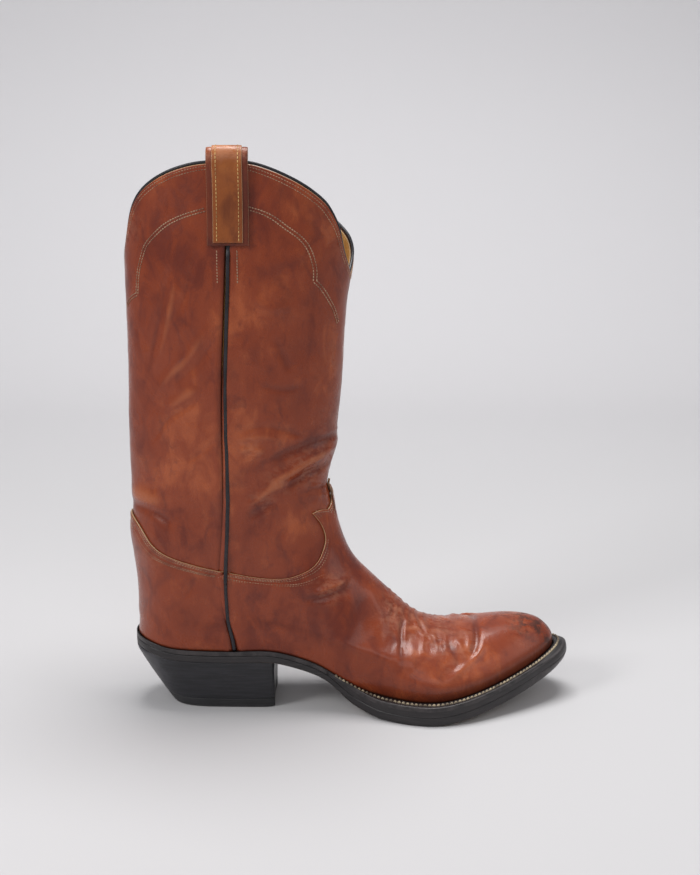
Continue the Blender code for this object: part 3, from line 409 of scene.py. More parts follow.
def noise(p, size, seed=0):
    """Smooth noise from -1 to 1 at points in millimetres."""
    q = p / size + seed * 17.3
    cell = np.floor(q)
    f = blend(q - cell)
    total = 0
    for corner in itertools.product((0, 1), repeat=3):
        hashed = np.sin((cell + corner) @ np.array([127.1, 311.7, 74.7])) * 43758.5453
        weight = np.prod(np.where(corner, f, 1 - f), -1)
        total = total + weight * (hashed - np.floor(hashed))
    return 2 * total - 1


def stroke(xz, points, width):
    """1 on the line, falling off across it and towards its ends."""
    line = smooth(points, 5 * len(points))
    near = np.all((xz > line.min(0) - 3 * width) & (xz < line.max(0) + 3 * width), -1)
    value = np.zeros(len(xz))
    p = xz[near]
    if not len(p):
        return value
    best, place = np.full(len(p), 1e9), np.zeros(len(p))
    reach = reach_of(line)
    for a, b, start in zip(line, line[1:], reach):
        t = np.clip((p - a) @ (b - a) / ((b - a) @ (b - a)), 0, 1)
        d = np.linalg.norm(p - a - t[:, None] * (b - a), axis=1)
        place = np.where(d < best, start + t * np.linalg.norm(b - a), place)
        best = np.minimum(best, d)
    share = place / reach[-1]
    value[near] = np.exp(-(best / width)**2) * blend(np.minimum(share, 1 - share) / 0.3 + 0.15)
    return value


def side_view(p):
    """(x, z) in which folds are placed. The medial side gets its own, shifted and bent."""
    inner = blend((p[:, 1] - toe_swing(p[:, 0])) / 25)
    wander = np.stack([noise(p, 42, 3), noise(p, 42, 4)], 1)
    return p[:, [0, 2]] + inner[:, None] * (wander * 7 + (2, -6)) + wander * 0.6


def blobs(xz, spots):
    """Mask of soft round spots, each given as (x, z, radius, strength)."""
    total = np.zeros(len(xz))
    for x, z, radius, strength in spots:
        total = np.maximum(total, strength * np.exp(-((xz - (x, z))**2).sum(1) / radius**2))
    return total


def relief(p):
    """Height of the leather's folds and undulation above the form at points p.

    Besides the folds there are fine creases over the flex of the vamp and round the ankle's front.
    The toe puff and the welt hold the leather smooth.
    """
    flat = p.reshape(-1, 3)
    xz = side_view(flat)
    x, z = flat[:, 0], flat[:, 2]
    height = 0.55 * noise(flat * (1, 1, 0.6), 36) + 0.28 * noise(flat, 15, 1) + 0.10 * noise(flat, 6, 2)
    for rise, width, points in FOLDS:
        height += rise * stroke(xz, points, width)
    instep = blend((x - FLEX_BACK_X) / 14) * blend((PUFF_X - x) / 12) * blend((z - FLEX_Z) / 14)
    lines_across = 1 - np.abs(noise(flat * (1, 0.22, 0.34) + noise(flat, 12, 5)[:, None] * 2, 3.4, 6))
    height += 0.5 * instep * (lines_across**4 - 0.25)
    ankle = blend((z - ANKLE_LOW_Z) / 20) * blend((ANKLE_TOP_Z - z) / 24) * blend((x - ANKLE_BACK_X) / 45)
    lines_down = 1 - np.abs(noise(flat * (0.3, 0.3, 1) + noise(flat, 16, 7)[:, None] * 3, 5.5, 8))
    height += 0.35 * ankle * (lines_down**3 - 0.3)
    calm = 1 - 0.75 * blend((x - PUFF_X) / 16)
    calm = calm * (0.25 + 0.75 * blend((z - spline(FEATHER, x) - 2) / 12))
    return (height * calm).reshape(p.shape[:-1])


def beside_seam(seam):
    """Folds die out towards a seam, which holds the leather."""
    return blend((seam - 0.5) / 5)


def below_rim(top):
    """Folds weaken towards the rim, whose beading holds the leather."""
    return 0.3 + 0.7 * blend(top / RIM_HOLD)


def shaped(phi, u):
    """Point of the form, with the slumped rim: its medial front leans out and hangs lower."""
    p = surface(phi, u)
    turn = np.mod(phi, 2)
    high = blend((p[..., 2] - LEAN_Z) / LEAN_RISE)
    for centre, width, forward, rise in LEANS:
        spread = np.exp(-((turn - centre) / width)**2) * high
        p[..., 0] += forward * spread
        p[..., 2] += rise * spread
    for z, reach, out in ANKLE_BUMPS:
        p[..., 0] += out * np.exp(-((turn - 1) / ANKLE_BUMP_W)**2 - ((p[..., 2] - z) / reach)**2)
    return p


def edge_distance(p):
    """Distance of each grid point from the side seams and from the top edge."""
    across = np.linalg.norm(np.diff(p, axis=1), axis=-1)
    left = np.concatenate([np.zeros((len(p), 1)), np.cumsum(across, 1)], 1)
    seam = np.minimum(left, left[:, -1:] - left)
    up = np.linalg.norm(np.diff(p, axis=0), axis=-1)[::-1]
    top = np.concatenate([np.zeros((1, p.shape[1])), np.cumsum(up, 0)])[::-1]
    return seam, top


def inset(p):
    """How far the foot is drawn in, so that the outer face of the vamp lies near the form."""
    return FOOT_INSET * (1 - blend((p[..., 2] - 96) / 30))


# ------------------------------------------------------------------ meshes

def add_piece(name, verts, faces, mat, nodes=(), masks=None):
    """Object riding on the boot's body, facing outwards, in place of the named CAD nodes."""
    verts, faces = np.asarray(verts, float), np.asarray(faces)
    a, b, c, d = (verts[faces[:, i]] for i in range(4))
    volume = np.einsum("ij,ij->", a, np.cross(b, c)) + np.einsum("ij,ij->", a, np.cross(c, d))
    if volume < 0:
        faces = faces[:, ::-1]
    mesh = bpy.data.meshes.new(name)
    mesh.from_pydata((verts * MM).tolist(), [], faces.tolist())
    mesh.polygons.foreach_set("use_smooth", np.ones(len(faces), bool))
    mesh.materials.append(mat)
    for key, values in (masks or {}).items():
        layer = mesh.attributes.new(key, "FLOAT", "POINT")
        layer.data.foreach_set("value", np.asarray(values, np.float32).ravel())
    mesh.validate()
    mesh.update()
    obj = bpy.data.objects.new(name, mesh)
    bpy.context.scene.collection.objects.link(obj)
    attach(obj, "root")
    if nodes:
        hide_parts(*nodes)
    return obj


def sheet_faces(rows, cols, wrap=False):
    at = np.arange(rows * cols).reshape(rows, cols)
    if wrap:
        at = np.column_stack([at, at[:, 0]])
    return np.stack([at[:-1, :-1], at[:-1, 1:], at[1:, 1:], at[1:, :-1]], -1).reshape(-1, 4)


def slab(outside, inside):
    """Closed shell between two equal grids of points."""
    rows, cols = outside.shape[:2]
    count = rows * cols
    front = sheet_faces(rows, cols)
    at = np.arange(count).reshape(rows, cols)
    loop = np.concatenate([at[0, :], at[1:, -1], at[-1, -2::-1], at[-2:0:-1, 0]])
    onward = np.roll(loop, -1)
    rim = np.stack([onward, loop, loop + count, onward + count], -1)
    verts = np.concatenate([outside.reshape(-1, 3), inside.reshape(-1, 3)])
    return verts, np.concatenate([front, front[:, ::-1] + count, rim])


def tube(sections):
    """Solid from equal closed sections, its two ends capped with strips."""
    sections = np.asarray(sections)
    count, size = sections.shape[:2]
    faces = [sheet_faces(count, size, wrap=True)]
    at = np.arange(count * size).reshape(count, size)
    i = np.arange(size // 2 - 1)
    for row, flip in ((at[0], 1), (at[-1], -1)):
        cap = np.stack([row[i], row[i + 1], row[size - 2 - i], row[size - 1 - i]], -1)
        faces.append(cap[:, ::-flip])
    return sections.reshape(-1, 3), np.concatenate(faces)


def rounded(width, height, count, power):
    """Rounded rectangle outline about the origin, as (across, up); a higher power is squarer."""
    t = np.arange(count) / count * 2 * np.pi + np.pi / count
    c, s = np.cos(t), np.sin(t)
    r = (np.abs(c)**power + np.abs(s)**power)**(-1 / power)
    return np.stack([c * r * width / 2, s * r * height / 2], 1)


def thread(name, path, up, mat, slot, pitch, length, radius):
    """Row of separate stitches along a path that lies on the leather."""
    reach = reach_of(path)
    count = int(reach[-1] / pitch)
    centre = (np.arange(count) + 0.5) * reach[-1] / count
    pick = lambda values, s: np.stack([np.interp(s, reach, values[:, i]) for i in range(3)], 1)
    middle, n = pick(path, centre), unit(pick(up, centre))
    ahead = unit(pick(path, centre + length / 2) - pick(path, centre - length / 2))
    aside = unit(np.cross(ahead, n))
    t = np.array([-1, -0.8, -0.3, 0.3, 0.8, 1])
    girth = np.array([0.3, 0.8, 1, 1, 0.8, 0.3]) * radius
    bow = radius * (0.55 - 0.9 * t**2)
    turn = np.arange(6) / 6 * 2 * np.pi
    rings = middle[:, None] + ahead[:, None] * (t * length / 2)[:, None] + n[:, None] * bow[:, None]
    verts = rings[:, :, None] + (aside[:, None, None] * np.cos(turn)[:, None]
                                 + n[:, None, None] * np.sin(turn)[:, None]) * girth[:, None, None]
    one, faces = tube(verts[0])
    faces = np.concatenate([faces + i * len(one) for i in range(count)])
    return add_piece(name, verts.reshape(-1, 3), faces, mat)


# ------------------------------------------------------------------ materials

def node(tree, kind, inputs=None, **settings):
    made = tree.nodes.new("ShaderNode" + kind)
    for key, value in settings.items():
        setattr(made, key, value)
    for key, value in (inputs or {}).items():
        if isinstance(value, bpy.types.NodeSocket):
            tree.links.new(value, made.inputs[key])
        else:
            made.inputs[key].default_value = value
    return made


def mix(tree, factor, a, b):
    made = node(tree, "Mix", data_type="RGBA", blend_type="MIX", clamp_factor=True)
    for index, value in ((0, factor), (6, a), (7, b)):
        if isinstance(value, bpy.types.NodeSocket):
            tree.links.new(value, made.inputs[index])
        else:
            made.inputs[index].default_value = value if index == 0 else (*value, 1)
    return made.outputs[2]


def calc(tree, how, a, b, clamp=False):
    return node(tree, "Math", {0: a, 1: b}, operation=how, use_clamp=clamp).outputs[0]


def span(tree, value, low, high, a=0.0, b=1.0):
    """value brought from low..high to a..b, held at both ends."""
    ends = {"Value": value, "From Min": low, "From Max": high, "To Min": a, "To Max": b}
    return node(tree, "MapRange", ends, interpolation_type="SMOOTHSTEP").outputs[0]


def times(tree, a, b):
    return calc(tree, "MULTIPLY", a, b)


def mask(tree, name):
    return node(tree, "Attribute", attribute_name=name).outputs["Fac"]


def speckle(tree, place, scale, detail=4.0, rough=0.55, stretch=(1, 1, 1), warp=0.0):
    where = node(tree, "Mapping", {"Vector": place, "Scale": stretch}).outputs[0]
    return node(tree, "TexNoise", {"Vector": where, "Scale": scale, "Detail": detail, "Roughness": rough,
                                   "Distortion": warp}).outputs[0]


def cells(tree, place, scale, feature="F1"):
    return node(tree, "TexVoronoi", {"Vector": place, "Scale": scale}, feature=feature).outputs["Distance"]


def start_material(name, **constants):
    """New material with its constant shader values set, and its object-space coordinates."""
    mat = bpy.data.materials.new(name)
    mat.use_nodes = True
    tree = mat.node_tree
    shader = tree.nodes["Principled BSDF"]
    for key, value in constants.items():
        shader.inputs[key.replace("_", " ")].default_value = value
    place = node(tree, "TexCoord").outputs["Object"]
    return mat, tree, shader, place


def finish_material(tree, shader, colour, roughness, height, strength, depth=0.0004):
    bump = node(tree, "Bump", {"Height": height, "Strength": strength, "Distance": depth})
    tree.links.new(colour, shader.inputs["Base Color"])
    tree.links.new(roughness, shader.inputs["Roughness"])
    tree.links.new(bump.outputs[0], shader.inputs["Normal"])


# fold tops and rubbed spots: partly rubbed wear, partly painted highlight; raw edges: the leather's own pale
# cut edge
FOLD_TOP_RUB_AND_HIGHLIGHT_TONE, RUBBED_AND_HIGHLIGHT_TONE, RAW_EDGE_TONE = (0.48, 0.15, 0.06), (0.48, 0.22, 0.13), (0.50, 0.31, 0.17)
SCUFF_TONE, SEAM_SHADE_TONE = (0.035, 0.016, 0.013), (0.02, 0.008, 0.006)


def aniline_leather(name, deep, body, light, vein_and_crease_shade, gloss):
    """Glossy marbled leather: mottling, veins, scuffs, pores and pale raw edges; fold tops and rubbed spots
    lighter, partly wear and partly painted highlight, and painted shade in fold valleys and along seams and
    the welt.
    """
    mat, tree, shader, place = start_material(name, Coat_Weight=0.2, Coat_Roughness=0.16,
                                              Specular_IOR_Level=0.24)
    broad = speckle(tree, place, 20, 3, 0.5, (1, 1, 0.7), 0.6)
    middle = speckle(tree, place, 75, 6, 0.6, (1, 1, 0.55), 0.8)
    tone = calc(tree, "ADD", times(tree, broad, 0.55), times(tree, middle, 0.45))
    colour = mix(tree, span(tree, tone, 0.36, 0.52), deep, body)
    colour = mix(tree, span(tree, tone, 0.52, 0.68), colour, light)
    bent = node(tree, "TexNoise", {"Vector": place, "Scale": 45.0, "Detail": 3.0}).outputs["Color"]
    bent = node(tree, "VectorMath", {0: bent, 1: (0.03, 0.03, 0.045)}, operation="MULTIPLY").outputs[0]
    bent = node(tree, "VectorMath", {0: bent, 1: place}, operation="ADD").outputs[0]
    slanted = node(tree, "Mapping", {"Vector": bent, "Rotation": (0.0, 0.42, 0.0), "Scale": (1.3, 1.0, 0.55)})
    edges = cells(tree, slanted.outputs[0], 26, "DISTANCE_TO_EDGE")
    patchy = span(tree, speckle(tree, place, 32, 2), 0.46, 0.6)
    streak = times(tree, span(tree, edges, 0.0, 0.10, 0.34, 0.0), patchy)
    colour = mix(tree, streak, colour, vein_and_crease_shade)
    blotch = span(tree, speckle(tree, slanted.outputs[0], 60, 5, 0.65, warp=1.2), 0.52, 0.74, 0.0, 0.42)
    colour = mix(tree, blotch, colour, vein_and_crease_shade)
    fold = mask(tree, "fold")
    # fold tops lighter: partly rubbed wear, partly painted highlight; fold valleys darker: painted shade in
    # the creases
    colour = mix(tree, span(tree, fold, 0.35, 1.5, 0.0, 0.5), colour, FOLD_TOP_RUB_AND_HIGHLIGHT_TONE)
    colour = mix(tree, span(tree, fold, -0.15, -1.1, 0.0, 0.5), colour, vein_and_crease_shade)
    scratch = speckle(tree, place, 260, 5, 0.7, (0.6, 1, 1), 0.4)
    # rubbed spots: pale wear, and on the upper's leather also spots of painted highlight
    rubbed = times(tree, mask(tree, "wear"), span(tree, scratch, 0.42, 0.62))
    colour = mix(tree, times(tree, rubbed, 0.34), colour, RUBBED_AND_HIGHLIGHT_TONE)
    spots = span(tree, speckle(tree, place, 190, 5, 0.7), 0.47, 0.56)
    dirt = times(tree, mask(tree, "scuff"), spots)
    colour = mix(tree, times(tree, dirt, 0.85), colour, SCUFF_TONE)
    colour = mix(tree, mask(tree, "shade"), colour, SEAM_SHADE_TONE)
    colour = mix(tree, span(tree, mask(tree, "raw"), 0.45, 0.75), colour, RAW_EDGE_TONE)
    pores = cells(tree, place, 1300)
    grain = speckle(tree, place, 420, 5, 0.65)
    height = calc(tree, "ADD", times(tree, pores, 0.5), times(tree, grain, 0.9))
    height = calc(tree, "ADD", height, times(tree, middle, 0.8))
    rough = span(tree, middle, 0.3, 0.7, gloss + 0.10, gloss - 0.06)
    rough = calc(tree, "ADD", rough, times(tree, calc(tree, "ADD", rubbed, dirt), 0.22), True)
    finish_material(tree, shader, colour, rough, height, 0.30, 0.00045)
    return mat


def plain_leather(name, dark, pale, roughness, grain_scale, stretch=(1, 1, 1), bump=0.35,
                  edge=(0.5, 0.33, 0.19)):
    """Softer or firmer leather and leather-like stock with mottling, fibre grain and raw edges."""
    mat, tree, shader, place = start_material(name, Specular_IOR_Level=0.4)
    broad = speckle(tree, place, 55, 4, 0.55, stretch, 0.5)
    fine = speckle(tree, place, grain_scale, 5, 0.65, stretch)
    tone = calc(tree, "ADD", times(tree, broad, 0.6), times(tree, fine, 0.4))
    colour = mix(tree, span(tree, tone, 0.36, 0.64), dark, pale)
    colour = mix(tree, span(tree, mask(tree, "raw"), 0.45, 0.75), colour, edge)
    colour = mix(tree, times(tree, mask(tree, "wear"), span(tree, broad, 0.4, 0.6)), colour, edge)
    rough = span(tree, fine, 0.3, 0.7, roughness + 0.1, roughness - 0.08)
    finish_material(tree, shader, colour, rough, fine, bump)
    return mat


def edge_dressing(name, dark, pale, roughness, wear):
    """Black-dyed leather edge: burnished, with fine lengthwise scratches and rubbed corners."""
    mat, tree, shader, place = start_material(name, Coat_Weight=0.1, Coat_Roughness=0.3)
    drawn = speckle(tree, place, 240, 5, 0.7, (0.16, 0.16, 2.6))
    broad = speckle(tree, place, 34, 4, 0.6, warp=0.8)
    colour = mix(tree, span(tree, drawn, 0.38, 0.66), dark, pale)
    spots = span(tree, speckle(tree, place, 130, 5, 0.7), 0.38, 0.6)
    rubbed = times(tree, mask(tree, "wear"), spots)
    colour = mix(tree, rubbed, colour, wear)
    colour = mix(tree, span(tree, broad, 0.5, 0.75, 0.0, 0.35), colour, wear)
    bare = times(tree, mask(tree, "under"), span(tree, broad, 0.35, 0.6))
    colour = mix(tree, bare, colour, (0.20, 0.135, 0.085))
    rough = span(tree, broad, 0.3, 0.7, roughness - 0.06, roughness + 0.16)
    finish_material(tree, shader, colour, rough, drawn, 0.3, 0.0003)
    return mat


def metal(name, tone, roughness):
    mat, tree, shader, place = start_material(name, Metallic=1.0)
    brushed = speckle(tree, place, 600, 4, 0.6, (0.2, 1, 1))
    colour = mix(tree, span(tree, brushed, 0.35, 0.65), tuple(0.6 * c for c in tone), tone)
    rough = span(tree, brushed, 0.3, 0.7, roughness, roughness + 0.2)
    finish_material(tree, shader, colour, rough, brushed, 0.2)
    return mat


def twisted_thread(name, pale, dark):
    mat, tree, shader, place = start_material(name, Sheen_Weight=0.2)
    dirt = speckle(tree, place, 110, 4, 0.6)
    ply = node(tree, "TexWave", {"Vector": place, "Scale": 900.0, "Distortion": 1.5},
               bands_direction="DIAGONAL")
    colour = mix(tree, span(tree, dirt, 0.40, 0.62), pale, dark)
    rough = span(tree, dirt, 0.3, 0.7, 0.6, 0.8)
    finish_material(tree, shader, colour, rough, ply.outputs["Fac"], 0.35, 0.0002)
    return mat


def materials():
    brown = (0.145, 0.024, 0.011), (0.235, 0.044, 0.016), (0.36, 0.085, 0.030), (0.09, 0.018, 0.014)
    band = (0.085, 0.017, 0.010), (0.15, 0.030, 0.013), (0.28, 0.075, 0.030), (0.05, 0.012, 0.010)
    tan = (0.15, 0.036, 0.010), (0.27, 0.075, 0.018), (0.42, 0.14, 0.035), (0.10, 0.026, 0.010)
    return {
        "leather": aniline_leather("marbled_brown_leather", *brown, 0.28),
        "strap": aniline_leather("strap_band_leather", *band, 0.34),
        "overlay": aniline_leather("strap_overlay_tan", *tan, 0.34),
        "lining": plain_leather("golden_lining_leather", (0.50, 0.25, 0.06), (0.72, 0.42, 0.13), 0.6, 600),
        "insole": plain_leather("insole_board_leather", (0.36, 0.22, 0.12), (0.52, 0.35, 0.20), 0.72, 700),
        "stiff": plain_leather("stiffener_split_leather", (0.30, 0.18, 0.10), (0.48, 0.32, 0.19), 0.85, 300),
        "black": plain_leather("black_trim", (0.009, 0.008, 0.010), (0.022, 0.020, 0.025), 0.36, 700,
                               bump=0.3, edge=(0.05, 0.045, 0.05)),
        "edge": edge_dressing("black_edge_dressing", (0.008, 0.006, 0.007), (0.018, 0.014, 0.015), 0.42,
                              (0.055, 0.045, 0.045)),
        "heel": edge_dressing("black_stacked_heel", (0.008, 0.008, 0.010), (0.019, 0.018, 0.023), 0.36,
                              (0.045, 0.042, 0.05)),
        "rubber": edge_dressing("black_heel_rubber", (0.010, 0.010, 0.011), (0.022, 0.021, 0.024), 0.55,
                                (0.05, 0.048, 0.05)),
        "thread": twisted_thread("tan_thread", (0.42, 0.25, 0.15), (0.22, 0.10, 0.055)),
        "welt_thread": twisted_thread("welt_thread", (0.42, 0.34, 0.22), (0.12, 0.09, 0.06)),
        "gold_thread": twisted_thread("golden_thread", (0.72, 0.46, 0.16), (0.34, 0.17, 0.05)),
        "steel": metal("brushed_steel", (0.50, 0.49, 0.48), 0.35),
        "wood": plain_leather("lemonwood_grain", (0.45, 0.28, 0.12), (0.66, 0.46, 0.24), 0.6, 900,
                              (0.3, 1, 1)),
        "cork": plain_leather("cork_sheet", (0.24, 0.13, 0.06), (0.45, 0.29, 0.16), 0.9, 350, bump=0.6),
    }


# ------------------------------------------------------------------ upper

SEAM_GAP = 1.1                 # half the gap between two pieces at the side seam
VAMP_COLS = (130, 19, 43)     # columns along the vamp edge, the notch top and the tongue side
COVER_LIFT, COVER_EDGE_T = 0.3, 1.35
VAMP_ROWS, VAMP_EDGE_ROWS = 150, 16
COVER_COLS, COVER_ROWS = 110, 80
SHAFT_COLS, SHAFT_ROWS, SHAFT_LAP = 112, 215, 8.0
LINING_COLS, LINING_ROWS, LINING_SHAFT_ROWS = 46, 46, 76
LINING_MEET = (10 / 12)**1.25    # share of the foot lining's height at which the shaft lining begins
INNER_STITCH_NEAR, INNER_STITCH_FAR = 7.2, 9.0   # how far the inner stitch rows lie from the edge


def cover_inner(top):
    """The vamp and counter cover lie close to the shaft at their edge and step out below it."""
    return COVER_LIFT + (LAP_GAP - COVER_LIFT) * blend((top - 2) / 10)


def cover_outer(top):
    return cover_inner(top) + COVER_EDGE_T + (VAMP_T - COVER_EDGE_T) * blend((top - 2) / 10)


def constant(value):
    return lambda top: np.full_like(top, value)


def seam_dip(seam):
    """The leather is drawn in at the side seam, beside the piping."""
    return np.exp(-(seam / 1.7)**2)


def leather_piece(name, grid, inner, outer, mat, nodes, lasted=False, rim=False):
    """Leather sheet over a (phi, u) grid, its faces at inner and outer above the form.

    A lasted piece is turned under the insole at its foot; a rim piece reaches the boot's top.
    """
    phi, u = grid
    p, n = shaped(phi, u), normals(phi, u)
    seam, top = edge_distance(p)
    high = relief(p) * beside_seam(seam)
    if rim:
        high = high * below_rim(top)
    out_at, in_at = outer(top), inner(top)
    curl = (out_at - in_at) * (np.clip(1 - top / 0.7, 0, 1)**2 + np.clip(1 - seam / 0.7, 0, 1)**2)
    dip = seam_dip(seam) - 0.3 * np.exp(-((seam - 4.0) / 1.8)**2)
    base = high - inset(p) - dip
    outside = p + n * (base + out_at - 0.35 * curl)[..., None]
    inside = p + n * (base + in_at + 0.1 * curl)[..., None]
    raw = np.clip(1 - top / (0.75 if rim else 0.28), 0, 1) * (rim or lasted)
    shade = 0.85 * np.exp(-(seam / 0.8)**2)
    if lasted:
        low = p[..., 2] - spline(FEATHER, p[..., 0])
        shade = np.maximum(shade, 0.9 * np.clip(1 - low / 1.6, 0, 1))
        front = blend((p[..., 0] - 10) / 60)
        shade = np.maximum(shade, 0.42 * front * blend((13 - low) / 12))
        side = unit(n[0] * (1, 1, 0))
        for reach in (0.4, LASTING_MARGIN - 2):
            turned = [face[0] - side * reach for face in (outside, inside)]
            for row, drop in zip(turned, (1.7, GAP)):
                row[:, 2] = spline(FEATHER, row[:, 0]) - drop
            outside = np.concatenate([turned[0][None], outside])
            inside = np.concatenate([turned[1][None], inside])
            high, raw = (np.concatenate([a[:1] * 0, a]) for a in (high, raw))
            shade = np.concatenate([shade[:1] * 0 + 1, shade])
    xz = side_view(outside.reshape(-1, 3))
    masks = {"fold": high, "raw": raw, "shade": shade}
    masks = {key: np.tile(values.ravel(), 2) for key, values in masks.items()}
    # on the upper's leather the wear mask also carries spots of painted highlight
    for key, spots in (("wear", RUBBED_AND_HIGHLIGHT_SPOTS), ("scuff", SCUFFS)):
        masks[key] = np.tile(blobs(xz, spots), 2)
    verts, faces = slab(outside, inside)
    return add_piece(name, verts, faces, mat, nodes, masks=masks)


def whole(half, centre, shares):
    """The half line sampled at shares and carried round, as (phi, u)."""
    return mirrored(along(half, shares), centre)


def foot_bottom(centre, half_shares):
    """The line along the feather, from seam to seam."""
    at = np.concatenate([half_shares / 2, 1 - half_shares[-2::-1] / 2])
    phi = even_phi(centre - 0.5, centre + 0.5, at)
    return np.stack([phi, np.zeros(len(phi))], 1)


def joined(grid, centre, gap=SEAM_GAP):
    """The grid with its sides drawn back from the side seams."""
    phi, u = grid
    return off_seams(phi, u, centre, gap), u


def vamp_grid():
    """Grid of the vamp, whose top edge turns two corners at the notch."""
    edge, top, side = VAMP_COLS
    first, second, third = tight_ends(edge), np.linspace(0, 1, top)[1:], np.linspace(0, 1, side)[1:]
    outer = np.concatenate([along(LINES["vamp edge"], first), along(LINES["notch top"], second),
                            along(LINES["tongue"], third)])
    a, b = NOTCH_SHARES
    shares = np.concatenate([first * a, a + (b - a) * second, b + (1 - b) * third])
    inner = whole(shift(LINES["vamp smooth"], INNER_STITCH_FAR), 1.0, shares)
    low = rows_between(foot_bottom(1.0, shares), inner, np.linspace(0, 1, VAMP_ROWS))
    near_edge = 1 - (1 - np.linspace(0, 1, VAMP_EDGE_ROWS)[1:])**1.6
    high = rows_between(inner, mirrored(outer, 1.0), near_edge, 1.0)
    return joined([np.concatenate(pair) for pair in zip(low, high)], 1.0)


def cover_grid():
    shares = tight_ends(COVER_COLS)
    low, high = foot_bottom(0.0, shares), whole(LINES["counter"], 0.0, shares)
    return joined(rows_between(low, high, edge_rows(COVER_ROWS, 6, 0.03)), 0.0)


def shaft_grid(bottom, rim, centre):
    """Grid of a shaft half, which starts a lap below the vamp's or the counter cover's edge."""
    shares = tight_ends(SHAFT_COLS)
    grid = rows_between(whole(shift(bottom, SHAFT_LAP), centre, shares), whole(rim, centre, shares),
                        edge_rows(SHAFT_ROWS, 6, 0.008), 1.0)
    return joined(grid, centre)


def lining_grids(foot, rim, centre):
    """Grids of the foot lining and the shaft lining, which meet under the vamp."""
    shares = np.linspace(0, 1, LINING_COLS)
    low, high = foot_bottom(centre, shares), whole(foot, centre, shares)
    foot_grid = rows_between(low, high, np.linspace(0.008, LINING_MEET, LINING_ROWS), 1.0)
    lap = low * (1 - LINING_MEET) + high * LINING_MEET + (0, 3.5)
    shaft = rows_between(lap, whole(rim, centre, shares), edge_rows(LINING_SHAFT_ROWS, 3, 0.008), 1.0)
    return joined(foot_grid, centre, 0.2), joined(shaft, centre, 0.2)


def add_upper(mats):
    leather = mats["leather"]
    leather_piece("vamp_leather", vamp_grid(), cover_inner, cover_outer, leather, ["vamp"], lasted=True)
    leather_piece("heel_counter_leather", cover_grid(), cover_inner, cover_outer, leather,
                  ["heel_counter_cover"], lasted=True)
    deep, shallow = constant(-OUTER_T - LINING_GAP - LINING_T), constant(-OUTER_T - LINING_GAP)
    halves = ("front", "vamp", "vamp smooth", 1.0), ("back", "heel", "counter", 0.0)
    for end, low_end, foot, centre in halves:
        rim = LINES["rim " + end]
        shaft, lining = end + "_shaft", low_end + "_lining"
        leather_piece(shaft + "_leather", shaft_grid(LINES[foot], rim, centre), constant(-OUTER_T),
                      constant(0.0), leather, [shaft], rim=True)
        foot_grid, lining_grid = lining_grids(LINES[foot], rim, centre)
        leather_piece(shaft + "_lining_leather", lining_grid, deep, shallow, mats["lining"],
                      [shaft + "_lining"], rim=True)
        leather_piece(lining + "_leather", foot_grid, deep, shallow, mats["lining"], [lining])
        add_stiffeners(end, foot_grid, mats["stiff"])
        add_beading(end, rim, centre, mats["black"])
    add_piping(mats["black"])
    add_stitching(mats["thread"])


STIFFENER_T = 1.2
STIFFENERS = {            # name, share of the lining's height, where it starts and stops along it
    "back": (("heel_counter_stiffener", 0.8, 0.06, 0.94),),
    "front": (("toe_puff", 0.45, 0.30, 0.72), ("side_liner_lateral", 0.35, 0.04, 0.25),
              ("side_liner_medial", 0.35, 0.77, 0.97)),
}


def add_stiffeners(end, grid, mat):
    """Heel counter, toe puff and side liners, cut from the foot lining's grid."""
    rows, cols = grid[0].shape
    for name, rise, start, stop in STIFFENERS[end]:
        pick = slice(1, int(rise * rows)), slice(int(start * cols), int(stop * cols))
        leather_piece(name + "_sheet", (grid[0][pick], grid[1][pick]), constant(-OUTER_T),
                      constant(-OUTER_T + STIFFENER_T), mat, [name])


def add_beading(end, rim, centre, mat):
    """Thin binding along the rim of a shaft half."""
    line = whole(rim, centre, np.linspace(0.004, 1, 170))
    phi = off_seams(line[None, :, 0], line[None, :, 1], centre, SEAM_GAP)[0]
    p, n = shaped(phi, line[:, 1]), normals(phi, line[:, 1])
    ahead = unit(np.gradient(p, axis=0))
    up = unit(np.cross(n, ahead))
    up = up * np.where(up[:, 2:] < 0, -1, 1)
    seam = np.minimum(reach_of(p), reach_of(p)[-1] - reach_of(p))
    high = relief(p) * 0.3 * beside_seam(seam) - seam_dip(seam)
    outline = rounded(2.1, 1.9, 14, 2.6) + (-1.75, 1.1)
    outward, upward = outline[None, :, :1] + high[:, None, None], outline[None, :, 1:]
    verts, faces = tube(p[:, None] + n[:, None] * outward + up[:, None] * upward)
    add_piece("top_beading_%s_cord" % end, verts, faces, mat, ["top_beading_" + end])


PIPING_W, PIPING_RISE = 2.5, 1.2
PIPING_FOOT_Z, STRAP_EDGE_Z, PIPING_TOP_Z = 45.8, 313.0, 369.4
PIPING_STEP_Z = 95.0           # from here up to the lap's edge the piping stands out over the lap


